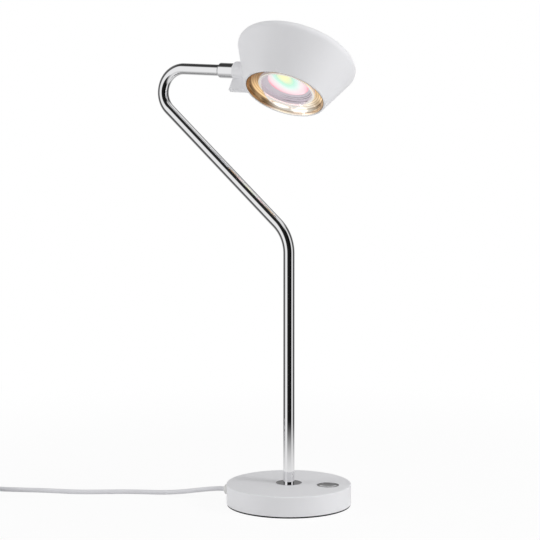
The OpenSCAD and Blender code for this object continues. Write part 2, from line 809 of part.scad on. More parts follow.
// The cord's end inside the base, from the gland's face to the terminal block
module inlet_lead() {
    color("white") in_base() translate([-terminal_far, 0, gland_h]) rotate([0, -90, 0])
        cylinder(d = cord_d, h = gland_face - terminal_far);
}

// A quarter bend of a lead, turning from straight down at the centre to straight along -X
module lead_bend(d, r) {
    translate([-r, 0, 0]) rotate([90, 0, 0]) rotate([0, 0, -90])
        rotate_extrude(angle = 90) translate([r, 0]) circle(d = d);
}

module output_lead() {
    run = -lead_board_x - 2 * lead_bend_r;
    color("white") in_base() {
        translate([0, 0, lead_run + lead_bend_r]) lead_bend(lead_d, lead_bend_r);
        translate([-lead_bend_r, 0, lead_run]) rotate([0, -90, 0]) cylinder(d = lead_d, h = run);
        translate([lead_board_x, 0, lead_run + lead_bend_r]) rotate([0, 0, 180])
            lead_bend(lead_d, lead_bend_r);
        translate([lead_board_x, 0, lead_run + lead_bend_r])
            cylinder(d = lead_d, h = board_bottom - lead_run - lead_bend_r);
    }
}

module switch_lead() {
    from_x = button_reach - 10;
    to_x = lead_board_x;
    d = switch_lead_d;
    color("red") in_base() translate([0, switch_lead_y, 0]) {
        translate([from_x, 0, switch_board_top]) mirror([0, 0, 1]) lead_bend(d, switch_lead_r);
        translate([from_x - switch_lead_r, 0, switch_lead_h]) rotate([0, -90, 0])
            cylinder(d = d, h = from_x - to_x - 2 * switch_lead_r);
        translate([to_x, 0, switch_lead_h + switch_lead_r]) rotate([0, 0, 180])
            lead_bend(d, switch_lead_r);
        translate([to_x, 0, switch_lead_h + switch_lead_r])
            cylinder(d = d, h = board_bottom - switch_lead_h - switch_lead_r);
    }
}

/* Button */

module button_cap() {
    dish_r = cap_d / 2 - 0.6;
    color("silver") at_button() translate([0, 0, button_top - cap_h]) difference() {
        cylinder(d = cap_d, h = cap_h);
        translate([0, 0, cap_h]) mirror([0, 0, 1]) bulge(dish_r, cap_dish);
        translate([0, 0, -cut]) cylinder(d = plunger_d + 2 * fit, h = cap_h - cap_dish - cap_skin + cut);
    }
}

module button_plunger() {
    disc_top = button_top - cap_dish - cap_skin;
    color("white") at_button() {
        translate([0, 0, disc_top - plunger_t]) cylinder(d = plunger_d, h = plunger_t);
        difference() {
            translate([0, 0, stem_end]) cylinder(d = stem_d, h = disc_top - stem_end);
            translate([0, 0, stem_end + 0.4]) ring(stem_d + cut, stem_d - 1, clip_t);
        }
    }
}

module plunger_clip() {
    color("gray") at_button() translate([0, 0, stem_end + 0.4]) ring(clip_d, stem_d - 1, clip_t);
}

module switch_pin() {
    color("red") at_button() translate([0, 0, switch_body_top - button_travel])
        cylinder(d = switch_pin_d, h = stem_end - switch_body_top + button_travel);
}

/* Arm */

module arm_tube() {
    color("silver") difference() {
        arm_rod(tube_d, tube_foot, tube_end);
        arm_rod(tube_d - 2 * tube_wall, tube_foot - cut, tube_end - cut);
    }
}

module tube_stud() {
    color("goldenrod") difference() {
        union() {
            translate([0, 0, stud_end]) cylinder(d = stud_d, h = tube_foot - stud_end);
            translate([0, 0, tube_foot - fit])
                cylinder(d = tube_d - 2 * tube_wall - 2 * fit, h = stud_plug_l);
        }
        translate([0, 0, stud_end - cut]) cylinder(d = spindle_bore, h = upright_h);
    }
}

module stud_stop_washer() {
    color("gray") translate([0, 0, stud_washer_top - washer_t])
        stop_washer(stop_washer_d, stud_d + 2 * fit, stop_slot_in + 0.3,
            stop_slot_out - stop_slot_in - 0.6, stop_tab_w, face_gap + stop_slot_depth - slack);
}

module stud_spring_washer() {
    color("gray") translate([0, 0, stud_nut_top])
        ring(stud_spring_washer_d, stud_d + 2 * fit, spring_washer_t);
}

module stud_nut() {
    color("goldenrod") translate([0, 0, stud_nut_top - nut_t]) hex_nut(stud_d + 2 * fit, nut_t);
}

module arm_lead() {
    color("white") arm_rod(lead_d, stud_end, spindle_end);
}

module arm_sleeve() {
    bevel = sleeve_bevel;
    color("silver") at_swivel() translate([0, 0, sleeve_face]) difference() {
        union() {
            cylinder(d = sleeve_d, h = sleeve_len - bevel);
            translate([0, 0, sleeve_len - bevel])
                cylinder(d1 = sleeve_d, d2 = sleeve_d - 2 * bevel, h = bevel);
        }
        translate([0, 0, -cut]) cylinder(d = spindle_d + 2 * fit, h = sleeve_len + 2 * cut);
        translate([0, 0, sleeve_len - sleeve_grip])
            cylinder(d = tube_d + 2 * lap_rise + 2 * fit, h = sleeve_grip + cut);
    }
}

module swivel_spindle() {
    color("goldenrod") at_swivel() translate([0, 0, spindle_end])
        ring(spindle_d, spindle_bore, tube_end + spindle_grip - spindle_end);
}

module slip_washer() {
    color("black") at_swivel() translate([0, 0, boss_reach + fit])
        ring(sleeve_d - 1, spindle_d + 2 * fit, slip_t);
}

module spindle_stop_washer() {
    color("gray") at_swivel() translate([0, 0, swivel_washer_face - washer_t])
        stop_washer(swivel_washer_d, spindle_d + 2 * fit, swivel_slot_in + 0.2,
            swivel_slot_out - swivel_slot_in - 0.4, swivel_tab_w, face_gap + stop_slot_depth - slack);
}

module spindle_spring_washer() {
    color("gray") at_swivel() translate([0, 0, swivel_nut_face])
        ring(spindle_spring_washer_d, spindle_d + 2 * fit, spring_washer_t);
}

module spindle_nut() {
    color("goldenrod") at_swivel() translate([0, 0, swivel_nut_face - nut_t])
        hex_nut(spindle_d + 2 * fit, nut_t);
}

/* Head */

// The head's outer form, or its hollow when drawn smaller by an inset
module head_form(inset) {
    side_inset = inset / cos(flare);
    tangent_z = crown_z - crown_r * sin(flare);
    rotate_extrude() union() {
        polygon([
            [0, rim_z], [rim_r - side_inset, rim_z], [side_r(tangent_z) - side_inset, tangent_z],
            [crown_centre_r, crown_z], [crown_centre_r, top_z - inset], [0, top_z - inset]
        ]);
        translate([crown_centre_r, crown_z]) circle(r = crown_r - inset);
    }
}

// The posts that the heat sink is screwed to, with webs to the side
module head_posts() {
    at_head_screws(sink_screw_r) translate([0, 0, sink_z - head_post_h]) {
        cylinder(d = head_post_d, h = head_post_h);
        translate([0, -head_post_d / 4, 0]) cube([rim_r - sink_screw_r + 4, head_post_d / 2, head_post_h]);
    }
}

// The casting's solid form: the hollow shell with its lug, ledge and posts, and the boss on its side
module head_shell() {
    difference() {
        union() {
            head_form(0);
            translate([-lug_reach, -lug_t / 2, rim_z + lug_inset])
                cube([lug_reach - rim_open_r, lug_t, lug_top - rim_z - lug_inset]);
        }
        difference() {
            head_form(head_wall);
            translate([0, 0, rim_z - cut]) cylinder(r = 2 * rim_r, h = rim_lip_t + cut);
            difference() {
                translate([0, 0, cover_seat - ledge_t]) cylinder(r = 2 * rim_r, h = ledge_t);
                cylinder(r = ledge_in, h = head_h);
            }
            head_posts();
        }
        translate([0, 0, rim_z - cut]) cylinder(r = rim_open_r, h = rim_lip_t + 2 * cut);
        translate([0, 0, cover_seat]) cylinder(d = cover_d + 2 * slack, h = head_h);
        translate([0, 0, cover_seat - ledge_t]) cylinder(r = ledge_in, h = head_h);
    }
    rotate([0, -90, 0]) {
        translate([0, 0, boss_reach - boss_len]) cylinder(d = boss_d, h = boss_len - boss_edge_r);
        translate([0, 0, boss_reach - boss_edge_r]) cylinder(r = boss_d / 2 - boss_edge_r, h = boss_edge_r);
        translate([0, 0, boss_reach - boss_edge_r])
            rotate_extrude() translate([boss_d / 2 - boss_edge_r, 0]) circle(r = boss_edge_r);
    }
}

module head_housing() {
    color("white") at_head() difference() {
        head_shell();
        rotate([0, -90, 0]) {
            cylinder(d = spindle_d + 2 * fit, h = 2 * boss_reach);
            cylinder(d = boss_socket_d, h = socket_face);
            translate([0, 0, socket_face])
                stop_slot(swivel_slot_in, swivel_slot_out, head_turn_limit, swivel_tab_w, stop_slot_depth);
        }
        at_head_screws(sink_screw_r) translate([0, 0, sink_z + sink_t - sink_screw_l - fit])
            cylinder(d = m3, h = sink_screw_l);
        at_head_screws(cover_screw_r) translate([0, 0, cover_seat - ledge_t - cut])
            cylinder(d = m25, h = ledge_t + 2 * cut);
    }
}

module head_cover() {
    slot_w = 2.4;
    slot_from = 26;
    slot_to = 44;
    color("white") at_head() translate([0, 0, cover_seat]) difference() {
        cylinder(d = cover_d, h = cover_t);
        for (i = [0:vent_count - 1]) rotate([0, 0, 360 * (i + 0.5) / vent_count]) {
            translate([slot_from, -slot_w / 2, -cut])
                cube([slot_to - slot_from, slot_w, cover_t + 2 * cut]);
            for (x = [slot_from, slot_to])
                translate([x, 0, -cut]) cylinder(d = slot_w, h = cover_t + 2 * cut);
        }
        at_head_screws(cover_screw_r) translate([0, 0, -cut])
            cylinder(d = m25 + 2 * fit, h = cover_t + 2 * cut);
        at_head_screws(cover_screw_r) translate([0, 0, cover_t]) countersink(m25);
    }
}

module cover_screws() {
    color("gray") at_head() at_head_screws(cover_screw_r)
        translate([0, 0, top_z]) mirror([0, 0, 1]) sunk_screw(m25, cover_t + ledge_t);
}

module heat_sink() {
    fin_t = 1.5;
    fin_from = 16;
    color("silver") at_head() translate([0, 0, sink_z]) difference() {
        union() {
            cylinder(d = sink_d, h = sink_t);
            translate([0, 0, sink_t / 2]) cylinder(r = fin_from + cut, h = sink_t / 2 + fin_h - cut);
            for (i = [0:fin_count - 1]) rotate([0, 0, 360 * (i + 0.5) / fin_count])
                translate([fin_from, -fin_t / 2, sink_t / 2])
                    cube([sink_d / 2 - 2 - fin_from, fin_t, sink_t / 2 + fin_h]);
        }
        at_head_screws(sink_screw_r) translate([0, 0, -cut])
            cylinder(d = m3 + 2 * fit, h = sink_t + 2 * cut);
        at_holder_screws() translate([0, 0, -cut]) cylinder(d = m25, h = sink_t + cut - 0.4);
    }
}
module at_holder_screws() { rotate([0, 0, 30]) at_head_screws(holder_screw_r) children(); }

module sink_screws() {
    color("gray") at_head() at_head_screws(sink_screw_r)
        translate([0, 0, sink_z + sink_t]) mirror([0, 0, 1])
            screw(m3, sink_screw_l, sink_head_d, sink_head_h);
}

module light_carrier() {
    color("white") at_head() {
        translate([0, 0, carrier_z]) cylinder(d = carrier_d, h = carrier_t);
        translate([-carrier_d / 2 + 0.3, -3, -lead_d / 2])
            cube([connector_w - 0.6, 6, carrier_z + lead_d / 2]);
    }
}

module light_source() {
    color("yellow") at_head() translate([0, 0, source_z]) cylinder(d = source_d, h = source_t);
}

// The bowl between light source and lens, with a step that the colour filter lies on
module inner_reflector() {
    step_z = filter_z + filter_t;
    wall = reflector_t;
    seat = 0.7;
    color("silver") at_head() rotate_extrude() polygon([
        [neck_r, neck_z], [filter_r - seat, step_z], [filter_r + fit, step_z], [filter_r + fit, filter_z],
        [lens_r - lens_flange - 0.8, bowl_end_z], [lens_r - lens_flange - 0.8 + wall, bowl_end_z],
        [filter_r + wall + 0.3, filter_z + wall], [filter_r + wall + 0.3, step_z + wall],
        [filter_r - seat + wall, step_z + wall], [neck_r + wall, neck_z]
    ]);
}

module colour_filter() {
    color("lightgreen") at_head() translate([0, 0, filter_z]) cylinder(r = filter_r, h = filter_t);
}

module lens() {
    color("lightblue") at_head() translate([0, 0, lens_z]) union() {
        cylinder(r = lens_r, h = lens_edge_t);
        mirror([0, 0, 1]) bulge(lens_r - lens_flange, lens_bulge_out);
        translate([0, 0, lens_edge_t]) bulge(lens_r - lens_flange, lens_bulge_in);
    }
}

module lens_ring() {
    color("silver") at_head() translate([0, 0, lens_z - 1.2])
        ring(2 * holder_out, 2 * (lens_r - lens_flange + 0.2), 1.2 - fit);
}

module lens_holder() {
    notch_w = 9;
    flange_t = holder_flange_t;
    color("gray") at_head() difference() {
        union() {
            translate([0, 0, lens_z]) cylinder(r = holder_out, h = sink_z - lens_z);
            translate([0, 0, sink_z - flange_t]) cylinder(r = holder_flange_r, h = flange_t);
        }
        translate([0, 0, lens_z - cut]) cylinder(r = lens_r + fit, h = lens_edge_t + face_gap + cut);
        translate([0, 0, lens_z - cut]) cylinder(r = lens_r - lens_flange + 0.3, h = head_h);
        translate([0, 0, bowl_end_z - 1]) cylinder(r = holder_in, h = head_h);
        translate([-holder_flange_r - cut, -notch_w / 2, -lead_d]) cube([holder_flange_r, notch_w, head_h]);
        at_holder_screws() translate([0, 0, sink_z - flange_t - cut])
            cylinder(d = m25 + 2 * fit, h = flange_t + 2 * cut);
    }
}

module holder_screws() {
    color("gray") at_head() at_holder_screws() translate([0, 0, sink_z - holder_flange_t])
        screw(m25, holder_screw_l, small_head_d, small_head_h);
}

// The outer reflector, a funnel that curves in from the light opening to the lens holder
function funnel(front_r, front_z, back_r, back_z) = [
    for (a = [0:90 / 8:90])
    [back_r + (front_r - back_r) * sin(a), back_z - (back_z - front_z) * (1 - cos(a))]
];
module trim_reflector() {
    front_z = rim_z + 0.2;
    back_r = holder_out + fit;
    back_z = rim_z + trim_depth;
    inside = funnel(rim_open_r - fit - reflector_t, front_z, back_r, back_z);
    outside = funnel(rim_open_r - fit, front_z, back_r, back_z + reflector_t);
    color("silver") at_head() rotate_extrude()
        polygon(concat(inside, [for (i = [len(outside) - 1:-1:0]) outside[i]]));
}

module head_lead() {
    color("white") at_head() translate([-carrier_d / 2 + 0.3, 0, 0]) rotate([0, -90, 0])
        cylinder(d = lead_d, h = spindle_end - carrier_d / 2 + 0.3);
}

/* Cord, coil and plug */

module cord_lead() { color("white") swept_tube(lead_path, cord_d / 2, lead_sides); }
module cord_coil() { color("white") swept_tube(coil_path, cord_d / 2, coil_sides); }

module coil_tie() {
    inside_w = coil_out - coil_in + cord_d + 1;
    inside_h = coil_top - coil_base + cord_d + 0.6;
    color("gray") translate([coil_at[0], coil_at[1], 0]) rotate([0, 0, tie_turn])
        translate([coil_in - cord_d / 2 - 0.5, -tie_w / 2, 0]) difference() {
            translate([-tie_t, 0, 0]) cube([inside_w + 2 * tie_t, tie_w, inside_h + 2 * tie_t]);
            translate([0, -cut, tie_t]) cube([inside_w, tie_w + 2 * cut, inside_h]);
        }
}

module cord_tail() { color("white") swept_tube(tail_path, cord_d / 2, lead_sides); }

// The plug's own frame: z runs from the cord's end along the pins
module at_plug() { translate(plug_cord_end) rotate([90, 0, 0]) children(); }
module at_pins() {
    for (x = [-1, 1]) translate([x * pin_gap / 2, 0, plug_boot_l + plug_body_l - pin_root]) children();
}

module plug_body() {
    color("white") at_plug() difference() {
        union() {
            hull() {
                cylinder(d = plug_boot_d, h = 1, $fn = 32);
                translate([0, 0, plug_boot_l]) cylinder(d = plug_t - 2, h = 1, $fn = 32);
            }
            hull() {
                translate([0, 0, plug_boot_l - 4]) cylinder(d = plug_t - 1, h = 2, $fn = 32);
                for (x = [-1, 1], z = [plug_boot_l + 6, plug_boot_l + plug_body_l - 1])
                    translate([x * (plug_w - plug_t) / 2, 0, z]) cylinder(d = plug_t, h = 1, $fn = 32);
            }
            at_pins() translate([0, 0, pin_root - 1]) cylinder(d = pin_sleeve_d, h = pin_sleeve_l + 1);
        }
        at_pins() cylinder(d = pin_shank_d + 2 * fit, h = pin_root + pin_len);
    }
}

module plug_pins() {
    tip = pin_d / 4;
    bare_from = pin_root + pin_sleeve_l + slack;
    bare_to = pin_root + pin_len - tip;
    color("goldenrod") at_plug() at_pins() {
        cylinder(d = pin_shank_d, h = bare_to);
        translate([0, 0, bare_from]) cylinder(d = pin_d, h = bare_to - bare_from);
        translate([0, 0, bare_to]) cylinder(d1 = pin_d, d2 = pin_d - 2 * tip + 0.4, h = tip);
    }
}

base_housing();
foot_pad();
bottom_plate();
bottom_screws();
ballast();
tube_collar();
tube_bush();
driver_board();
driver_windings();
driver_capacitors();
terminal_block();
board_screws();
switch_board();
push_switch();
switch_screws();
button_bezel();
button_spring();
cord_gland();
cord_clamp();
clamp_screws();
inlet_lead();
output_lead();
switch_lead();
button_cap();
button_plunger();
plunger_clip();
switch_pin();
arm_tube();
tube_stud();
stud_stop_washer();
stud_spring_washer();
stud_nut();
arm_lead();
arm_sleeve();
swivel_spindle();
slip_washer();
spindle_stop_washer();
spindle_spring_washer();
spindle_nut();
head_housing();
head_cover();
cover_screws();
heat_sink();
sink_screws();
light_carrier();
light_source();
inner_reflector();
colour_filter();
lens();
lens_ring();
lens_holder();
holder_screws();
trim_reflector();
head_lead();
cord_lead();
cord_coil();
coil_tie();
cord_tail();
plug_body();
plug_pins();
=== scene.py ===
"""The looks of a desk lamp with a round base, a bent chrome tube and a swivelling white head.

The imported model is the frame: the lengths here are metres in its axes, with the origin on the
table under the base, +Z up and the head towards +X.
"""

import math

import bmesh
import bpy
from bpy.props import FloatProperty, FloatVectorProperty, IntProperty, PointerProperty
from mathutils import Matrix, Vector


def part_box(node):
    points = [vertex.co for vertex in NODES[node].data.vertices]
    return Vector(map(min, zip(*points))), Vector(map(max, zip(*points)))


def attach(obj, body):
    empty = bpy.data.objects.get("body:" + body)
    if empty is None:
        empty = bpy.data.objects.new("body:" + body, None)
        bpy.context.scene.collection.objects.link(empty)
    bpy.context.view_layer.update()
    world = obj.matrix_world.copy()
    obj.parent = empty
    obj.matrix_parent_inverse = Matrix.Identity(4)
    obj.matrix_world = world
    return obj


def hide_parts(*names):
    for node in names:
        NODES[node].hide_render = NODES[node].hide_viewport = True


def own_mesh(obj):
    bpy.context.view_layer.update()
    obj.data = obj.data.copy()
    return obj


bl_info = {
    "name": "Chrome desk lamp",
    "version": (1, 0, 0),
    "blender": (4, 5, 0),
    "location": "3D View > Sidebar > Desk lamp",
    "description": "Builds a desk lamp's surfaces, cord and studio around its packed frame",
    "category": "Object",
}

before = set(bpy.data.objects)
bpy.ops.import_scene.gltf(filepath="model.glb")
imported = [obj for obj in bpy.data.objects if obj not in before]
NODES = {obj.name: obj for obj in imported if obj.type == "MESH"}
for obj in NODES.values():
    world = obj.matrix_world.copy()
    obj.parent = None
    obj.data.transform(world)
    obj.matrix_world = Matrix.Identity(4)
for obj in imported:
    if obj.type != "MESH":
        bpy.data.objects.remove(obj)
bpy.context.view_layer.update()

MM = 0.001


# ---------------------------------------------------------------- settings


class LampSizes(bpy.types.PropertyGroup):
    """The sizes that the lamp's new pieces are drawn from."""

    tube_d: FloatProperty(name="Tube diameter", description="Outer diameter of the arm's tube",
                          default=0.012, unit="LENGTH")
    upright_h: FloatProperty(name="Upright height", description="Height at which the first bend starts",
                             default=0.262, unit="LENGTH")
    lean: FloatProperty(name="Lean", description="Lean of the slanting stretch from upright",
                        default=math.radians(47.5), subtype="ANGLE")
    lower_bend_r: FloatProperty(name="Lower bend radius",
                                description="Radius of the first bend, on its centre line",
                                default=0.042, unit="LENGTH")
    slant_l: FloatProperty(name="Slant length", description="Length of the slanting stretch",
                           default=0.179, unit="LENGTH")
    upper_bend_r: FloatProperty(name="Upper bend radius",
                                description="Radius of the return bend, on its centre line",
                                default=0.025, unit="LENGTH")
    droop: FloatProperty(name="Droop", description="Downward slope of the end stretch",
                         default=math.radians(3.8), subtype="ANGLE")
    reach: FloatProperty(name="Reach",
                         description="Distance of the head's axis in front of the base's centre",
                         default=0.003, unit="LENGTH")
    head_turn: FloatProperty(name="Head turn", description="Turn of the head about the arm's end",
                             default=math.radians(30), subtype="ANGLE")
    base_turn: FloatProperty(name="Base turn", description="Turn of the base against the arm",
                             default=math.radians(12.5), subtype="ANGLE")
    cord_d: FloatProperty(name="Cord diameter", description="Diameter of the round cord",
                          default=0.0048, unit="LENGTH")
    coil_in: FloatProperty(name="Coil inner radius", description="Radius of the coil's innermost turn",
                           default=0.024, unit="LENGTH")
    coil_layers: IntProperty(name="Coil layers", description="Number of layers of turns in the coil",
                             default=4)


class LampColours(bpy.types.PropertyGroup):
    """The colours of the lamp's finishes."""

    paint: FloatVectorProperty(name="Paint", description="Satin white paint of the base and head",
                               default=(0.81, 0.81, 0.83), size=3, subtype="COLOR", min=0, max=1)
    chrome: FloatVectorProperty(name="Chrome", description="Polished chrome of the tube and rings",
                                default=(0.87, 0.87, 0.88), size=3, subtype="COLOR", min=0, max=1)
    cord: FloatVectorProperty(name="Cord", description="Sheath of the cord and plug",
                              default=(0.79, 0.79, 0.82), size=3, subtype="COLOR", min=0, max=1)
    # Near black: partly the foam pad's own dark colour, partly painted shade for the gap under the base
    pad: FloatVectorProperty(name="Foot pad", description="Foam pad under the base",
                             default=(0.012, 0.012, 0.012), size=3, subtype="COLOR", min=0, max=1)


class LampStudio(bpy.types.PropertyGroup):
    """The camera and the light."""

    camera_place: FloatVectorProperty(name="Camera place", description="Where the camera stands",
                                      default=(0.69064, -1.33004, 0.3516), size=3, subtype="XYZ",
                                      unit="LENGTH")
    camera_turn: FloatProperty(name="Camera turn", description="Turn of the camera about the vertical",
                               default=math.radians(28.192), subtype="ANGLE")
    camera_dip: FloatProperty(name="Camera dip", description="How far the camera looks down",
                              default=math.radians(1.937), subtype="ANGLE")
    lens: FloatProperty(name="Lens", description="Focal length in millimetres on a 36 mm sensor",
                        default=96.27)
    shift: FloatProperty(name="Shift", description="Vertical shift of the lens", default=-0.1)
    floor: FloatVectorProperty(name="Floor", description="Colour of the floor and backdrop",
                               default=(0.90, 0.90, 0.90), size=3, subtype="COLOR", min=0, max=1)
    near_white: FloatProperty(name="White near the lamp",
                              description="How white the floor stays in the lamp's shadow",
                              default=0.9, min=0, max=1)
    sky: FloatProperty(name="Sky", description="Brightness of the soft light from all round",
                       default=0.42, min=0)
    left_power: FloatProperty(name="Left light", description="Power of the large lamp on the left",
                              default=13.5)
    right_power: FloatProperty(name="Right light", description="Power of the lamp on the right",
                               default=16.5)
    top_power: FloatProperty(name="Top light", description="Power of the lamp above", default=9)


def sizes():
    return bpy.context.scene.lamp_sizes


def colours():
    return bpy.context.scene.lamp_colours


# ---------------------------------------------------------------- places


def along_arm(steps_per_bend=24):
    """Points of the arm's centre line from its foot to the head's axis, with the direction at each."""
    s = sizes()
    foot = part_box("arm_tube")[0].z
    points, headings = [Vector((0, 0, foot)), Vector((0, 0, s.upright_h))], [Vector((0, 0, 1))] * 2
    turned, here = 0.0, Vector((0, 0, s.upright_h))

    def bend(radius, turn, side):
        nonlocal turned, here
        heading = Vector((-math.sin(turned), 0, math.cos(turned)))
        centre = here + Matrix.Rotation(-side * math.pi / 2, 3, "Y") @ heading * radius
        start = here - centre
        for i in range(1, steps_per_bend + 1):
            angle = side * turn * i / steps_per_bend
            turner = Matrix.Rotation(-angle, 3, "Y")
            points.append(centre + turner @ start)
            headings.append(turner @ heading)
        turned += side * turn
        here = points[-1].copy()

    bend(s.lower_bend_r, s.lean, 1)
    here = here + headings[-1] * s.slant_l
    points.append(here)
    headings.append(headings[-1])
    bend(s.upper_bend_r, math.pi / 2 + s.lean + s.droop, -1)
    length = (s.reach - here.x) / headings[-1].x
    points.append(here + headings[-1] * length)
    headings.append(headings[-1])
    return points, headings


def head_frame():
    """Where the head is: x along the arm's end, z away from the light opening."""
    points, _ = along_arm()
    s = sizes()
    return (Matrix.Translation(points[-1]) @ Matrix.Rotation(s.droop, 4, "Y")
            @ Matrix.Rotation(-s.head_turn, 4, "X"))


def base_frame():
    """How the base is turned: the cord leaves it towards its own -x."""
    return Matrix.Rotation(sizes().base_turn, 4, "Z")


# ---------------------------------------------------------------- mesh helpers


DOUBLES = 1e-7  # vertices closer than this are one
SHARP_FROM = math.radians(32)  # edges with a larger angle aren't smoothed


def finished(bm, name, body, material, replaced):
    """A bmesh as a smooth piece that rides on a body and stands for CAD nodes."""
    bmesh.ops.remove_doubles(bm, verts=bm.verts, dist=DOUBLES)
    bmesh.ops.recalc_face_normals(bm, faces=bm.faces)
    mesh = bpy.data.meshes.new(name)
    bm.to_mesh(mesh)
    bm.free()
    piece = bpy.data.objects.new(name, mesh)
    bpy.context.scene.collection.objects.link(piece)
    mesh.materials.append(material)
    for polygon in mesh.polygons:
        polygon.use_smooth = True
    mesh.set_sharp_from_angle(angle=SHARP_FROM)
    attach(piece, body)
    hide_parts(*replaced)
    return piece


# ---------------------------------------------------------------- materials

# How fine the grain of each kind of surface is, in bumps per metre
PAINT_GRAIN, CHROME_GRAIN, MOULDED_GRAIN, METAL_GRAIN = 1400, 60, 1800, 1500
# The patches in a surface: their scale per metre, their detail, and the noise values between which they show
PATCH_SCALE, PATCH_DETAIL, PATCH_LOW, PATCH_HIGH = 28, 3, 0.35, 0.65

# Colours of the filter's coating, from the middle of its rings outwards
FILTER_RINGS = [
    (0.0, (0.92, 0.92, 0.50)), (0.18, (0.90, 0.92, 0.52)), (0.40, (0.50, 0.83, 0.64)),
    (0.58, (0.68, 0.88, 0.82)), (0.72, (0.92, 0.76, 0.78)), (0.90, (0.94, 0.60, 0.64)),
    (1.0, (0.93, 0.32, 0.40)),
]
# The rings are ovals, because the coating gets thinner across the filter: their half sizes and their middle
RINGS_HALF_X, RINGS_HALF_Y, RINGS_MIDDLE_Y = 0.0222, 0.039, -0.012

# Painted reflections round the funnel by their turn about the head, which starts at the arm's side, and the
# painted glow in them
FUNNEL_PAINTED_REFLECTIONS = [
    (0.0, (0.85, 0.60, 0.33)), (0.12, (0.50, 0.30, 0.16)), (0.30, (0.30, 0.22, 0.15)),
    (0.42, (0.80, 0.58, 0.32)), (0.56, (0.86, 0.64, 0.36)), (0.65, (0.93, 0.82, 0.66)),
    (0.72, (0.97, 0.94, 0.88)), (0.86, (0.96, 0.90, 0.80)), (0.92, (0.86, 0.64, 0.38)),
    (1.0, (0.85, 0.60, 0.33)),
]
FUNNEL_PAINTED_GLOW_COLOURS = [
    (0.0, (0.30, 0.17, 0.07)), (0.2, (0.06, 0.04, 0.02)), (0.40, (0.22, 0.14, 0.06)),
    (0.56, (0.42, 0.27, 0.13)), (0.65, (0.62, 0.48, 0.32)), (0.70, (0.95, 0.88, 0.76)),
    (0.85, (1.0, 0.93, 0.82)), (0.90, (0.55, 0.37, 0.20)), (1.0, (0.30, 0.17, 0.07)),
]
# How dark the painted shade on the funnel's outermost strip is round its turn, and the radii between which
# the painted shade sets in
FUNNEL_PAINTED_SHADE = [
    (0.0, 0.75), (0.2, 0.8), (0.5, 0.8), (0.62, 0.95), (0.69, 0.25), (0.84, 0.2), (0.91, 0.7), (1.0, 0.75),
]
FUNNEL_SHADE_FROM, FUNNEL_SHADE_TO = 0.0375, 0.0388
# Pitch, depth and tint of the funnel's spun rings, and the tint of the painted shade on its strip
FUNNEL_PITCH, FUNNEL_DEPTH = 0.0021, 0.6
FUNNEL_MARK_TINT, FUNNEL_SHADE_TINT = (0.42, 0.26, 0.14), (0.16, 0.13, 0.11)

# The inner reflector's colour, and the pitch, depth and tint of its spun rings
BOWL_COLOUR, BOWL_MARK_TINT = (0.60, 0.56, 0.60), (0.12, 0.07, 0.10)
BOWL_PITCH, BOWL_DEPTH = 0.0017, 0.9
# Where its rings show: turns at which they set in and end, and the radii between which they set in
BOWL_MARKS_IN, BOWL_MARKS_OUT, BOWL_MARKS_RADII = (0.56, 0.64), (0.88, 0.80), (0.0228, 0.0236)

# Strength of the painted glow that each piece in the head's opening gives off
FILTER_PAINTED_GLOW, FUNNEL_PAINTED_GLOW, RING_PAINTED_GLOW, BOWL_PAINTED_GLOW = 0.7, 0.75, 0.3, 0.5
# Lower than real glass, which would hide the filter's rings from the side
LENS_IOR = 1.03


def set_inputs(made, values):
    """Sets a node's input sockets, given by their names or places."""
    for key, value in values.items():
        made.inputs[key].default_value = value


def node(tree, kind, values=None, **settings):
    """A new node in a tree, with its settings and the values of its input sockets."""
    made = tree.nodes.new(kind)
    for key, value in settings.items():
        setattr(made, key, value)
    set_inputs(made, values or {})
    return made


def shader_of(material):
    return material.node_tree.nodes["Principled BSDF"]


def new_material(name, colour=(0.8, 0.8, 0.8), roughness=0.5, **values):
    """A material with a Principled shader, whose other sockets are given by their names."""
    material = bpy.data.materials.new(name)
    material.use_nodes = True
    named = {key.replace("_", " ").title(): value for key, value in values.items()}
    set_inputs(shader_of(material), {"Base Color": (*colour, 1), "Roughness": roughness, **named})
    return material


def made_once(name, maker):
    """A finish, made the first time that it is asked for. The prefix keeps it apart from the frame's own."""
    name = "finish_" + name
    return bpy.data.materials.get(name) or maker(name)


def shader_group(name, inputs, outputs, fill):
    """A shader node group with named float inputs and outputs, made and filled the first time."""
    if name in bpy.data.node_groups:
        return bpy.data.node_groups[name]
    group = bpy.data.node_groups.new(name, "ShaderNodeTree")
    sockets = group.interface
    for title, default in inputs:
        sockets.new_socket(name=title, in_out="INPUT", socket_type="NodeSocketFloat").default_value = default
    for title in outputs:
        sockets.new_socket(name=title, in_out="OUTPUT", socket_type="NodeSocketFloat")
    fill(group, group.nodes.new("NodeGroupInput"), group.nodes.new("NodeGroupOutput"))
    return group


def surface_grain():
    """A height and a mask of fine noise on Object coordinates, at a scale in bumps per metre."""
    def fill(group, start, end):
        link = group.links.new
        place = node(group, "ShaderNodeTexCoord")
        grain = node(group, "ShaderNodeTexNoise")
        patches = node(group, "ShaderNodeTexNoise", {"Scale": PATCH_SCALE, "Detail": PATCH_DETAIL})
        link(place.outputs["Object"], grain.inputs["Vector"])
        link(place.outputs["Object"], patches.inputs["Vector"])
        link(start.outputs["Scale"], grain.inputs["Scale"])
        link(start.outputs["Detail"], grain.inputs["Detail"])
        link(grain.outputs["Fac"], end.inputs["Height"])
        link(patches.outputs["Fac"], end.inputs["Patches"])
    return shader_group("surface_grain", [("Scale", 800.0), ("Detail", 2.0)], ["Height", "Patches"], fill)


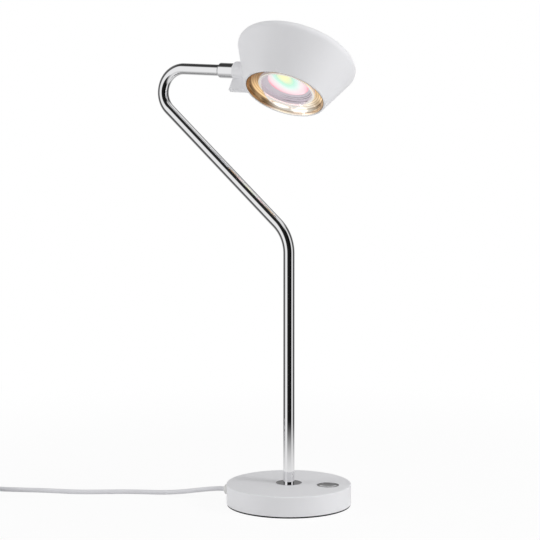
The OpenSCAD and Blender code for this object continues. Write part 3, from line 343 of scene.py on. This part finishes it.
def about_head():
    """Where a point is about the head's axis, in metres, and its turn, 0 and 1 at the arm's side."""
    def fill(group, _, end):
        link = group.links.new
        place = node(group, "ShaderNodeTexCoord")
        centred = node(group, "ShaderNodeMapping",
                       {"Location": head_frame().translation, "Rotation": head_frame().to_euler()},
                       vector_type="TEXTURE")
        flat = node(group, "ShaderNodeVectorMath", {1: (1, 1, 0)}, operation="MULTIPLY")
        radius = node(group, "ShaderNodeVectorMath", operation="LENGTH")
        parts = node(group, "ShaderNodeSeparateXYZ")
        angle = node(group, "ShaderNodeMath", operation="ARCTAN2")
        turn = node(group, "ShaderNodeMapRange", {"From Min": -math.pi, "From Max": math.pi})
        link(place.outputs["Object"], centred.inputs["Vector"])
        link(centred.outputs["Vector"], flat.inputs[0])
        link(flat.outputs["Vector"], radius.inputs[0])
        link(flat.outputs["Vector"], parts.inputs[0])
        link(parts.outputs["Y"], angle.inputs[0])
        link(parts.outputs["X"], angle.inputs[1])
        link(angle.outputs[0], turn.inputs["Value"])
        link(radius.outputs["Value"], end.inputs["Radius"])
        link(parts.outputs["X"], end.inputs["Along"])
        link(parts.outputs["Y"], end.inputs["Across"])
        link(turn.outputs["Result"], end.inputs["Turn"])
    return shader_group("about_head", [], ["Radius", "Turn", "Along", "Across"], fill)


def fine_rings():
    """A mask of the fine rings that spinning leaves in a sheet, from its radius and their pitch in metres."""
    def fill(group, start, end):
        link = group.links.new
        turns = node(group, "ShaderNodeMath", operation="DIVIDE")
        phase = node(group, "ShaderNodeMath", {1: math.tau}, operation="MULTIPLY")
        wave = node(group, "ShaderNodeMath", operation="SINE")
        marks = node(group, "ShaderNodeMapRange", {"From Min": 0.5})
        link(start.outputs["Radius"], turns.inputs[0])
        link(start.outputs["Pitch"], turns.inputs[1])
        link(turns.outputs[0], phase.inputs[0])
        link(phase.outputs[0], wave.inputs[0])
        link(wave.outputs[0], marks.inputs["Value"])
        link(start.outputs["Depth"], marks.inputs["To Max"])
        link(marks.outputs["Result"], end.inputs["Mask"])
    return shader_group("fine_rings", [("Radius", 0.0), ("Pitch", 0.002), ("Depth", 0.5)], ["Mask"], fill)


def ramp_colour(tree, value, stops):
    """The colour that a value picks from stops of (place, colour)."""
    ramp = node(tree, "ShaderNodeValToRGB")
    elements = ramp.color_ramp.elements
    while len(elements) < len(stops):
        elements.new(0.5)
    for element, (position, colour) in zip(elements, stops):
        element.position = position
        element.color = (*colour, 1)
    tree.links.new(value, ramp.inputs["Fac"])
    return ramp.outputs["Color"]


def greys(stops):
    """Stops of (place, brightness) as stops of (place, colour)."""
    return [(place, (level,) * 3) for place, level in stops]


def between(tree, value, low, high):
    """A mask that rises from 0 to 1 between two values."""
    ramp = node(tree, "ShaderNodeMapRange", {"From Min": low, "From Max": high},
                interpolation_type="SMOOTHSTEP")
    tree.links.new(value, ramp.inputs["Value"])
    return ramp.outputs["Result"]


def product(tree, first, second):
    both = node(tree, "ShaderNodeMath", operation="MULTIPLY")
    tree.links.new(first, both.inputs[0])
    tree.links.new(second, both.inputs[1])
    return both.outputs[0]


def darkened(tree, colour, mask, tint):
    """A colour, given as a socket or as plain numbers, multiplied by a tint where a mask is."""
    mix = node(tree, "ShaderNodeMix", {"B": (*tint, 1)}, data_type="RGBA", blend_type="MULTIPLY")
    tree.links.new(mask, mix.inputs["Factor"])
    if isinstance(colour, bpy.types.NodeSocket):
        tree.links.new(colour, mix.inputs["A"])
    else:
        mix.inputs["A"].default_value = (*colour, 1)
    return mix.outputs["Result"]


def spun_marks(tree, place, pitch, depth):
    marks = node(tree, "ShaderNodeGroup", node_tree=fine_rings())
    set_inputs(marks, {"Pitch": pitch, "Depth": depth})
    tree.links.new(place.outputs["Radius"], marks.inputs["Radius"])
    return marks.outputs["Mask"]


def add_grain(material, scale, depth, roughness_low, roughness_high, tint=None):
    """Grain in a material's normal, and patches in its roughness and, with a tint, in its colour."""
    tree, shader = material.node_tree, shader_of(material)
    link = tree.links.new
    grain = node(tree, "ShaderNodeGroup", node_tree=surface_grain())
    set_inputs(grain, {"Scale": scale})
    bump = node(tree, "ShaderNodeBump", {"Distance": depth, "Strength": 1})
    spread = node(tree, "ShaderNodeMapRange", {"From Min": PATCH_LOW, "From Max": PATCH_HIGH,
                                               "To Min": roughness_low, "To Max": roughness_high})
    link(grain.outputs["Height"], bump.inputs["Height"])
    link(bump.outputs["Normal"], shader.inputs["Normal"])
    link(grain.outputs["Patches"], spread.inputs["Value"])
    link(spread.outputs["Result"], shader.inputs["Roughness"])
    if tint:
        mix = node(tree, "ShaderNodeMix", data_type="RGBA")
        set_inputs(mix, {"A": shader.inputs["Base Color"].default_value, "B": (*tint, 1)})
        link(grain.outputs["Patches"], mix.inputs["Factor"])
        link(mix.outputs["Result"], shader.inputs["Base Color"])
    return material


def white_paint():
    def maker(name):
        paint = colours().paint
        material = new_material(name, paint, 0.5, coat_weight=0.08)
        return add_grain(material, PAINT_GRAIN, 0.000006, 0.46, 0.56, [c * 0.98 for c in paint])
    return made_once("white_paint", maker)


def chrome():
    def maker(name):
        material = new_material(name, colours().chrome, 0.03, metallic=1.0)
        return add_grain(material, CHROME_GRAIN, 0.0000001, 0.02, 0.045)
    return made_once("polished_chrome", maker)


def moulded(name, colour, roughness=0.35, depth=0.00001):
    """A plastic, rubber or casting, whose roughness and colour vary a little in patches."""
    def maker(made_name):
        return add_grain(new_material(made_name, colour, roughness), MOULDED_GRAIN, depth,
                         roughness * 0.85, roughness * 1.15, [c * 0.93 for c in colour])
    return made_once(name, maker)


def metal(name, colour, roughness=0.3, depth=0.000008):
    """A bare metal, whose roughness and colour vary a little in patches."""
    def maker(made_name):
        return add_grain(new_material(made_name, colour, roughness, metallic=1.0), METAL_GRAIN, depth,
                         roughness * 0.8, roughness * 1.25, [c * 0.9 for c in colour])
    return made_once(name, maker)


def lens_glass():
    def maker(name):
        material = new_material(name, (0.98, 0.97, 0.98), 0.0, transmission_weight=1.0, coat_weight=0.45)
        set_inputs(shader_of(material), {"IOR": LENS_IOR})
        return material
    return made_once("lens_glass", maker)


def filter_coating():
    """Glass with a coating that shows rings of colour, which also give off a painted glow."""
    def maker(name):
        material = new_material(name, roughness=0.1, emission_strength=FILTER_PAINTED_GLOW)
        tree = material.node_tree
        link = tree.links.new
        place = node(tree, "ShaderNodeGroup", node_tree=about_head())
        flat = node(tree, "ShaderNodeCombineXYZ")
        oval = node(tree, "ShaderNodeMapping",
                    {"Location": (0, RINGS_MIDDLE_Y, 0), "Scale": (RINGS_HALF_X, RINGS_HALF_Y, 1)},
                    vector_type="TEXTURE")
        share = node(tree, "ShaderNodeVectorMath", operation="LENGTH")
        link(place.outputs["Along"], flat.inputs["X"])
        link(place.outputs["Across"], flat.inputs["Y"])
        link(flat.outputs["Vector"], oval.inputs["Vector"])
        link(oval.outputs["Vector"], share.inputs[0])
        rings = ramp_colour(tree, share.outputs["Value"], FILTER_RINGS)
        link(rings, shader_of(material).inputs["Base Color"])
        # The rings' colours also give off a painted glow
        link(rings, shader_of(material).inputs["Emission Color"])
        return material
    return made_once("filter_coating", maker)


def funnel_mirror():
    """The outer reflector: a warm mirror with fine rings from spinning, whose colour round its turn is
    painted reflections and painted glow, with painted shade on its outermost strip.
    """
    def maker(name):
        material = new_material(name, roughness=0.12, metallic=1.0, emission_strength=FUNNEL_PAINTED_GLOW)
        tree = material.node_tree
        place = node(tree, "ShaderNodeGroup", node_tree=about_head())
        turn, radius = place.outputs["Turn"], place.outputs["Radius"]
        marks = spun_marks(tree, place, FUNNEL_PITCH, FUNNEL_DEPTH)
        # Painted shade on the funnel's outermost strip
        shade_mask = product(tree, between(tree, radius, FUNNEL_SHADE_FROM, FUNNEL_SHADE_TO),
                        ramp_colour(tree, turn, greys(FUNNEL_PAINTED_SHADE)))
        # The base colour carries painted reflections and the emission carries painted glow, both round the
        # funnel's turn
        for stops, socket in ((FUNNEL_PAINTED_REFLECTIONS, "Base Color"), (FUNNEL_PAINTED_GLOW_COLOURS, "Emission Color")):
            shown = darkened(tree, ramp_colour(tree, turn, stops), marks, FUNNEL_MARK_TINT)
            shown = darkened(tree, shown, shade_mask, FUNNEL_SHADE_TINT)
            tree.links.new(shown, shader_of(material).inputs[socket])
        return material
    return made_once("funnel_mirror", maker)


def bright_ring():
    """The ring that holds the lens: satin metal with a painted warm glow that makes it look lit."""
    def maker(name):
        # A painted warm glow makes the ring look lit
        material = new_material(name, (0.95, 0.92, 0.88), 0.22, metallic=1.0,
                                emission_color=(1.0, 0.96, 0.90, 1), emission_strength=RING_PAINTED_GLOW)
        return add_grain(material, METAL_GRAIN, 0.000001, 0.18, 0.28)
    return made_once("bright_ring", maker)


def bowl_satin():
    """The inner reflector: satin grey with a touch of violet, and fine dark rings on its far side, whose
    colours also give off a painted glow.
    """
    def maker(name):
        material = new_material(name, roughness=0.4, metallic=0.4, emission_strength=BOWL_PAINTED_GLOW)
        tree = material.node_tree
        place = node(tree, "ShaderNodeGroup", node_tree=about_head())
        turn, radius = place.outputs["Turn"], place.outputs["Radius"]
        far_side = product(tree, between(tree, turn, *BOWL_MARKS_IN), between(tree, turn, *BOWL_MARKS_OUT))
        outside = product(tree, far_side, between(tree, radius, *BOWL_MARKS_RADII))
        rings = product(tree, spun_marks(tree, place, BOWL_PITCH, BOWL_DEPTH), outside)
        shown = darkened(tree, BOWL_COLOUR, rings, BOWL_MARK_TINT)
        tree.links.new(shown, shader_of(material).inputs["Base Color"])
        # Its colours also give off a painted glow
        tree.links.new(shown, shader_of(material).inputs["Emission Color"])
        return material
    return made_once("bowl_satin", maker)


def dress(material, *names):
    """Gives CAD nodes that are carried over a material."""
    for name in names:
        piece = NODES[name]
        piece.data.materials.clear()
        piece.data.materials.append(material)


# ---------------------------------------------------------------- stage

FLOOR_SIZE = 12
SENSOR = 36
# Distances from the base's centre between which the floor gets white
WHITE_FROM, WHITE_TO = 0.25, 0.9
# Distances between which the chrome stops seeing the table top, and how bright it sees it
TABLE_FROM, TABLE_TO, TABLE_BRIGHTNESS = 0.12, 0.52, 0.85
# What the lamps point at, and each lamp's name, place, size and the setting that holds its power
LIT_POINT = (0, 0, 0.25)
LAMPS = [
    ("left_light", (-1.45, -1.1, 0.75), 1.3, "left_power"),
    ("right_light", (1.75, 0.15, 0.95), 0.7, "right_power"),
    ("top_light", (0.4, 0.1, 2.2), 1.2, "top_power"),
]

# Brightness of the studio that the chrome sees: near the horizon, just above it, high up and low down.
# In turns, 0 and 1 are straight ahead of the camera, 0.25 is on its left, 0.5 behind it, 0.75 on its right.
AROUND = [
    (0.0, 0.75), (0.1, 0.7), (0.14, 0.13), (0.27, 0.1), (0.285, 0.92), (0.40, 0.92), (0.415, 0.02),
    (0.64, 0.0), (0.66, 0.85), (0.725, 0.85), (0.745, 0.06), (0.86, 0.1), (0.90, 0.6), (1.0, 0.75),
]
BEHIND = [
    (0.0, 0.2), (0.1, 0.3), (0.14, 0.13), (0.27, 0.1), (0.285, 0.92), (0.40, 0.92), (0.415, 0.02),
    (0.64, 0.0), (0.66, 0.85), (0.725, 0.85), (0.745, 0.06), (0.86, 0.1), (0.90, 0.3), (1.0, 0.2),
]
ABOVE = [
    (0.0, 0.05), (0.15, 0.04), (0.3, 0.05), (0.45, 0.02), (0.565, 0.03), (0.6, 0.8), (0.86, 0.85),
    (0.93, 0.3), (1.0, 0.05),
]
BELOW = [(0.0, 0.3), (0.2, 0.3), (0.3, 0.7), (0.4, 0.7), (0.5, 0.3), (0.65, 0.5), (0.8, 0.4), (1.0, 0.3)]
# The degrees over the horizon between which each next one takes over
LAYERS = [(BEHIND, 9, 12), (ABOVE, 38, 54), (BELOW, -30, -50)]


class LAMP_OT_stage(bpy.types.Operator):
    """Make the camera, the floor and the light"""

    bl_idname = "lamp.stage"
    bl_label = "Camera, floor and light"

    def execute(self, context):
        studio = context.scene.lamp_studio
        camera = bpy.data.objects.new("camera", bpy.data.cameras.new("camera"))
        context.scene.collection.objects.link(camera)
        camera.location = studio.camera_place
        camera.rotation_euler = (math.pi / 2 - studio.camera_dip, 0, studio.camera_turn)
        camera.data.lens = studio.lens
        camera.data.sensor_width = SENSOR
        camera.data.shift_y = studio.shift
        context.scene.camera = camera

        bm = bmesh.new()
        bmesh.ops.create_grid(bm, x_segments=1, y_segments=1, size=FLOOR_SIZE)
        mesh = bpy.data.meshes.new("floor")
        bm.to_mesh(mesh)
        bm.free()
        floor = bpy.data.objects.new("floor", mesh)
        context.scene.collection.objects.link(floor)
        floor.data.materials.append(self.floor_finish(studio))
        self.light_world(context.scene, studio)
        for name, place, size, power in LAMPS:
            self.add_lamp(name, place, size, getattr(studio, power))
        context.scene.view_settings.view_transform = "Standard"
        return {"FINISHED"}

    def floor_finish(self, studio):
        """A floor that takes the lamp's shadow, and that runs out into white all round.

        The chrome sees its middle as a white table top, and the studio round it.
        """
        material = new_material("studio_floor", studio.floor, 0.8)
        tree = material.node_tree
        link = tree.links.new
        place = node(tree, "ShaderNodeTexCoord")
        reach = node(tree, "ShaderNodeVectorMath", operation="LENGTH")
        link(place.outputs["Object"], reach.inputs[0])
        far = node(tree, "ShaderNodeMapRange", {"From Min": WHITE_FROM, "From Max": WHITE_TO,
                                                "To Min": studio.near_white, "To Max": 1.0},
                   interpolation_type="SMOOTHSTEP")
        link(reach.outputs["Value"], far.inputs["Value"])
        edge = between(tree, reach.outputs["Value"], TABLE_FROM, TABLE_TO)
        paths = node(tree, "ShaderNodeLightPath")
        white = node(tree, "ShaderNodeEmission")
        table = node(tree, "ShaderNodeEmission", {"Strength": TABLE_BRIGHTNESS})
        clear = node(tree, "ShaderNodeBsdfTransparent")
        share = product(tree, paths.outputs["Is Camera Ray"], far.outputs["Result"])
        seen = self.blend_shaders(tree, share, shader_of(material), white)
        mirrored = self.blend_shaders(tree, edge, table, clear)
        whole = self.blend_shaders(tree, paths.outputs["Is Glossy Ray"], seen, mirrored)
        link(whole.outputs[0], tree.nodes["Material Output"].inputs["Surface"])
        return material

    def blend_shaders(self, tree, share, first, second):
        mix = node(tree, "ShaderNodeMixShader")
        tree.links.new(share, mix.inputs["Fac"])
        tree.links.new(first.outputs[0], mix.inputs[1])
        tree.links.new(second.outputs[0], mix.inputs[2])
        return mix

    def light_world(self, scene, studio):
        """A plain soft sky, white to the camera. Chrome sees soft boxes, a dark room and a back wall."""
        world = bpy.data.worlds.new("studio")
        scene.world = world
        world.use_nodes = True
        tree = world.node_tree
        link = tree.links.new
        place = node(tree, "ShaderNodeTexCoord")
        facing = node(tree, "ShaderNodeMapping", {"Rotation": (0, 0, -studio.camera_turn)})
        parts = node(tree, "ShaderNodeSeparateXYZ")
        behind = node(tree, "ShaderNodeMath", {1: -1}, operation="MULTIPLY")
        angle = node(tree, "ShaderNodeMath", operation="ARCTAN2")
        turns = node(tree, "ShaderNodeMapRange", {"From Min": -math.pi, "From Max": math.pi})
        link(place.outputs["Generated"], facing.inputs["Vector"])
        link(facing.outputs["Vector"], parts.inputs[0])
        link(parts.outputs["Y"], behind.inputs[0])
        link(parts.outputs["X"], angle.inputs[0])
        link(behind.outputs[0], angle.inputs[1])
        link(angle.outputs[0], turns.inputs["Value"])
        whole = ramp_colour(tree, turns.outputs["Result"], greys(AROUND))
        for stops, low, high in LAYERS:
            share = between(tree, parts.outputs["Z"],
                            math.sin(math.radians(low)), math.sin(math.radians(high)))
            whole = self.blend(tree, share, whole, ramp_colour(tree, turns.outputs["Result"], greys(stops)))
        paths = node(tree, "ShaderNodeLightPath")
        plain = node(tree, "ShaderNodeMix", {"A": studio.sky, "B": 1.0})
        link(paths.outputs["Is Camera Ray"], plain.inputs["Factor"])
        seen = self.blend(tree, paths.outputs["Is Glossy Ray"], plain.outputs["Result"], whole)
        background = tree.nodes["Background"]
        background.inputs["Color"].default_value = (1, 1, 1, 1)
        link(seen, background.inputs["Strength"])

    def blend(self, tree, share, first, second):
        """A value that goes from one socket's to another's as a share goes from 0 to 1."""
        mix = node(tree, "ShaderNodeMix")
        for socket, value in (("Factor", share), ("A", first), ("B", second)):
            tree.links.new(value, mix.inputs[socket])
        return mix.outputs["Result"]

    def add_lamp(self, name, place, size, power):
        light = bpy.data.lights.new(name, "AREA")
        light.energy = power
        light.size = size
        lamp = bpy.data.objects.new(name, light)
        bpy.context.scene.collection.objects.link(lamp)
        lamp.location = place
        towards = Vector(LIT_POINT) - Vector(place)
        lamp.rotation_euler = towards.to_track_quat("-Z", "Y").to_euler()
        lamp.visible_glossy = False


# ---------------------------------------------------------------- cord

# The cord on the table, from the gland to its coil, in millimetres
ROUTE = [
    (-81, -18, 10.8), (-93.5, -20.6, 9), (-106, -23, 6.9), (-118.5, -24.9, 4.9), (-131.5, -27.1, 3.4),
    (-144, -30, 2.6), (-156.5, -33.8, 2.4), (-168.5, -38.8, 2.4), (-180, -44.6, 2.4), (-191, -51, 2.4),
    (-202, -57.6, 2.4), (-213, -63.8, 2.4), (-225, -69.2, 2.4), (-238, -73.4, 2.4), (-251, -77.2, 2.4),
    (-263.5, -81.4, 2.4), (-276, -86.4, 2.4), (-289, -91.4, 2.4), (-302, -95.8, 2.4), (-315, -98.8, 2.8),
]
# Where the cord leaves the gland: its distance from the base's centre and its height
GLAND_FACE, GLAND_HEIGHT = 0.070, 0.0115
COIL_CENTRE = Vector((-0.332, -0.133, 0))
# Turns in a layer and in the climb to the next one, and the cord's points in a turn
COIL_TURNS_IN_LAYER, COIL_CLIMB, COIL_POINTS = 1.625, 0.5, 24
# Distance between neighbouring turns, and the gap under the coil
COIL_PITCH, COIL_LIFT = 0.0059, 0.001
# From the coil to the plug: places about the coil's centre and its top turn, in millimetres
TAIL = [(-20, 32.6, -1), (-29.5, 30.8, -3), (-38.5, 27, -5.8), (-46.5, 21.4, -9), (-52.6, 15.4, -12)]
CORD_ROUNDNESS, CORD_STEPS = 5, 3
PLUG_CORD_END = COIL_CENTRE + Vector((-0.057, 0.004, 0.007))


def coil_points():
    """The coil's centre line: turns that spiral in and out by layers, climbing one pitch between two."""
    s = sizes()
    radius_out = s.coil_in + COIL_TURNS_IN_LAYER * COIL_PITCH
    layer_turns = COIL_TURNS_IN_LAYER + COIL_CLIMB
    turns = s.coil_layers * COIL_TURNS_IN_LAYER + (s.coil_layers - 1) * COIL_CLIMB
    points = []
    for i in range(round(turns * COIL_POINTS) + 1):
        t = i / COIL_POINTS
        layer = min(int(t / layer_turns), s.coil_layers - 1)
        share = min((t - layer * layer_turns) / COIL_TURNS_IN_LAYER, 1)
        climb = max(t - layer * layer_turns - COIL_TURNS_IN_LAYER, 0) / COIL_CLIMB
        inward = share if layer % 2 == 0 else 1 - share
        radius = radius_out + (s.coil_in - radius_out) * inward
        angle = math.pi / 2 + math.tau * t
        height = COIL_LIFT + s.cord_d / 2 + COIL_PITCH * (layer + climb)
        points.append(COIL_CENTRE + Vector((radius * math.cos(angle), radius * math.sin(angle), height)))
    return points


def cord_points():
    """The whole free cord, from the gland along the table, through the coil and on to the plug."""
    s = sizes()
    out = base_frame() @ Vector((-1, 0, 0))
    gland = out * GLAND_FACE + Vector((0, 0, GLAND_HEIGHT))
    coil = coil_points()
    stub = Vector((s.cord_d, 0, 0))
    tail = [COIL_CENTRE + Vector((x * MM, y * MM, coil[-1].z + z * MM)) for x, y, z in TAIL]
    return ([gland, gland + out * s.cord_d] + [Vector(p) * MM for p in ROUTE]
            + [coil[0] + 2 * stub, coil[0] + stub] + coil + [coil[-1] - stub, coil[-1] - 2 * stub] + tail
            + [PLUG_CORD_END + Vector((0, s.cord_d, 0)), PLUG_CORD_END])


class LAMP_OT_cord(bpy.types.Operator):
    """Lay the cord from the base to its coil and plug"""

    bl_idname = "lamp.cord"
    bl_label = "Cord"

    def execute(self, context):
        s = sizes()
        points = cord_points()
        curve = bpy.data.curves.new("mains_cord", "CURVE")
        curve.dimensions = "3D"
        curve.bevel_depth = s.cord_d / 2
        curve.bevel_resolution = CORD_ROUNDNESS
        curve.resolution_u = CORD_STEPS
        curve.use_fill_caps = True
        spline = curve.splines.new("BEZIER")
        spline.bezier_points.add(len(points) - 1)
        for knot, point in zip(spline.bezier_points, points):
            knot.co = point
            knot.handle_left_type = knot.handle_right_type = "AUTO"
        cord = bpy.data.objects.new("mains_cord", curve)
        context.scene.collection.objects.link(cord)
        curve.materials.append(moulded("cord_sheath", colours().cord, 0.45))
        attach(cord, "base")
        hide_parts("cord_lead", "cord_coil", "cord_tail")
        dress(moulded("plug_plastic", colours().cord, 0.3), "plug_body")
        dress(metal("plug_brass", (0.75, 0.68, 0.52), 0.2), "plug_pins")
        dress(moulded("tie_plastic", (0.05, 0.05, 0.05), 0.5), "coil_tie")
        return {"FINISHED"}


# ---------------------------------------------------------------- arm

TUBE_END_GAP = 0.0760  # from the tube's end to the head's axis
TUBE_WALL, TUBE_SIDES, TUBE_BEND_STEPS = 0.001, 64, 40


class LAMP_OT_tube(bpy.types.Operator):
    """Bend the arm's chrome tube"""

    bl_idname = "lamp.tube"
    bl_label = "Tube"

    def execute(self, context):
        s = sizes()
        points, headings = along_arm(TUBE_BEND_STEPS)
        points[-1] = points[-1] - headings[-1] * TUBE_END_GAP
        bm = bmesh.new()
        bmesh.ops.create_circle(bm, segments=TUBE_SIDES, radius=s.tube_d / 2, cap_ends=False)
        bmesh.ops.translate(bm, verts=bm.verts, vec=points[0])
        ring = list(bm.edges)
        heading = headings[0]
        for before, after, turn in zip(points, points[1:], headings[1:]):
            made = bmesh.ops.extrude_edge_only(bm, edges=ring)["geom"]
            verts = [g for g in made if isinstance(g, bmesh.types.BMVert)]
            ring = [g for g in made if isinstance(g, bmesh.types.BMEdge)
                    and all(v in verts for v in g.verts)]
            turner = heading.rotation_difference(turn).to_matrix().to_4x4()
            bmesh.ops.transform(bm, verts=verts, space=Matrix.Translation(-before), matrix=turner)
            bmesh.ops.translate(bm, verts=verts, vec=after - before)
            heading = turn
        bmesh.ops.recalc_face_normals(bm, faces=bm.faces)
        bmesh.ops.solidify(bm, geom=bm.faces, thickness=TUBE_WALL)
        finished(bm, "chrome_tube", "arm", chrome(), ["arm_tube"])
        return {"FINISHED"}


# ---------------------------------------------------------------- button

# The return spring's wire and windings
WIRE_R, WIRE_SIDES, SPRING_TURNS, SPRING_STEPS = 0.00035, 10, 4, 128


class LAMP_OT_spring(bpy.types.Operator):
    """Wind the button's return spring"""

    bl_idname = "lamp.spring"
    bl_label = "Return spring"

    def execute(self, context):
        low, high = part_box("button_spring")
        middle, length = (low + high) / 2, high.z - low.z
        rise = length - 2 * WIRE_R
        bm = bmesh.new()
        bmesh.ops.create_circle(bm, segments=WIRE_SIDES, radius=WIRE_R, cap_ends=False)
        bmesh.ops.rotate(bm, verts=bm.verts, cent=(0, 0, 0), matrix=Matrix.Rotation(math.pi / 2, 3, "X"))
        bmesh.ops.translate(bm, verts=bm.verts, vec=((high.x - low.x) / 2 - WIRE_R, 0, low.z + WIRE_R))
        bmesh.ops.spin(bm, geom=bm.verts[:] + bm.edges[:], cent=(0, 0, 0), axis=(0, 0, 1),
                       dvec=(0, 0, rise / SPRING_STEPS), angle=math.tau * SPRING_TURNS, steps=SPRING_STEPS)
        bmesh.ops.holes_fill(bm, edges=[edge for edge in bm.edges if edge.is_boundary], sides=WIRE_SIDES)
        bmesh.ops.rotate(bm, verts=bm.verts, cent=(0, 0, 0), matrix=base_frame().to_3x3())
        bmesh.ops.translate(bm, verts=bm.verts, vec=(middle.x, middle.y, 0))
        spring = finished(bm, "return_spring", "base", metal("spring_steel", (0.6, 0.6, 0.58), 0.3),
                          ["button_spring"])
        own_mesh(spring)
        return {"FINISHED"}


# ---------------------------------------------------------------- finishes of the carried-over pieces


class LAMP_OT_base(bpy.types.Operator):
    """Dress the base, its button and what it holds, and the joints, leads and screws"""

    bl_idname = "lamp.base"
    bl_label = "Base and button"

    def execute(self, context):
        dress(white_paint(), "base_housing")
        # The pad's near-black colour is partly its own and partly painted shade for the gap under the base
        dress(moulded("foam_pad", colours().pad, 0.9, 0.0001), "foot_pad")
        dress(chrome(), "tube_collar", "button_bezel", "button_cap")
        dress(moulded("white_plastic", (0.78, 0.78, 0.77), 0.35), "terminal_block", "cord_gland",
              "cord_clamp", "button_plunger")
        dress(moulded("bearing_plastic", (0.72, 0.7, 0.62), 0.4), "tube_bush", "slip_washer")
        dress(moulded("board_green", (0.02, 0.16, 0.06), 0.35), "driver_board", "switch_board")
        dress(metal("winding_copper", (0.72, 0.4, 0.2), 0.35, 0.00003), "driver_windings")
        dress(moulded("capacitor_sleeve", (0.03, 0.04, 0.09), 0.3), "driver_capacitors")
        dress(moulded("black_plastic", (0.03, 0.03, 0.03), 0.4), "push_switch", "switch_pin")
        dress(metal("zinc_steel", (0.62, 0.62, 0.6), 0.35), "bottom_plate", "plunger_clip",
              "stud_stop_washer", "stud_spring_washer", "spindle_stop_washer", "spindle_spring_washer")
        dress(metal("screw_steel", (0.42, 0.42, 0.42), 0.3), "bottom_screws", "board_screws",
              "switch_screws", "clamp_screws", "cover_screws", "sink_screws", "holder_screws")
        dress(moulded("cast_iron", (0.06, 0.06, 0.06), 0.75, 0.0002), "ballast")
        dress(moulded("lead_sheath", (0.7, 0.7, 0.69), 0.45), "inlet_lead", "output_lead", "arm_lead",
              "head_lead")
        dress(moulded("wire_sheath", (0.45, 0.03, 0.02), 0.4), "switch_lead")
        dress(metal("turned_brass", (0.75, 0.58, 0.28), 0.25), "tube_stud", "stud_nut",
              "swivel_spindle", "spindle_nut")
        dress(chrome(), "arm_sleeve")
        return {"FINISHED"}


class LAMP_OT_head(bpy.types.Operator):
    """Dress the head and its light, with painted reflections, painted shade and painted glow in its opening
    """

    bl_idname = "lamp.head"
    bl_label = "Head and light"

    def execute(self, context):
        dress(white_paint(), "head_housing", "head_cover")
        dress(metal("cast_aluminium", (0.7, 0.7, 0.71), 0.4, 0.00002), "heat_sink")
        dress(moulded("carrier_white", (0.78, 0.78, 0.76), 0.4), "light_carrier")
        dress(moulded("phosphor", (0.85, 0.62, 0.12), 0.35), "light_source")
        dress(bowl_satin(), "inner_reflector", "lens_holder")
        dress(funnel_mirror(), "trim_reflector")
        dress(bright_ring(), "lens_ring")
        dress(lens_glass(), "lens")
        dress(filter_coating(), "colour_filter")
        return {"FINISHED"}


# ---------------------------------------------------------------- panel and run


class LAMP_PT_panel(bpy.types.Panel):
    """The lamp's steps, in order"""

    bl_label = "Desk lamp"
    bl_space_type = "VIEW_3D"
    bl_region_type = "UI"
    bl_category = "Desk lamp"

    def draw(self, context):
        for operator in OPERATORS:
            self.layout.operator(operator.bl_idname)


OPERATORS = [LAMP_OT_stage, LAMP_OT_cord, LAMP_OT_tube, LAMP_OT_spring, LAMP_OT_base, LAMP_OT_head]
SETTINGS = {"lamp_sizes": LampSizes, "lamp_colours": LampColours, "lamp_studio": LampStudio}


def register():
    for made in [*SETTINGS.values(), *OPERATORS, LAMP_PT_panel]:
        bpy.utils.register_class(made)
    for name, made in SETTINGS.items():
        setattr(bpy.types.Scene, name, PointerProperty(type=made))


def unregister():
    for name in SETTINGS:
        delattr(bpy.types.Scene, name)
    for made in reversed([*SETTINGS.values(), *OPERATORS, LAMP_PT_panel]):
        bpy.utils.unregister_class(made)


def main():
    register()
    bpy.ops.lamp.stage()
    bpy.ops.lamp.cord()
    bpy.ops.lamp.tube()
    bpy.ops.lamp.spring()
    bpy.ops.lamp.base()
    bpy.ops.lamp.head()


if __name__ == "__main__":
    main()
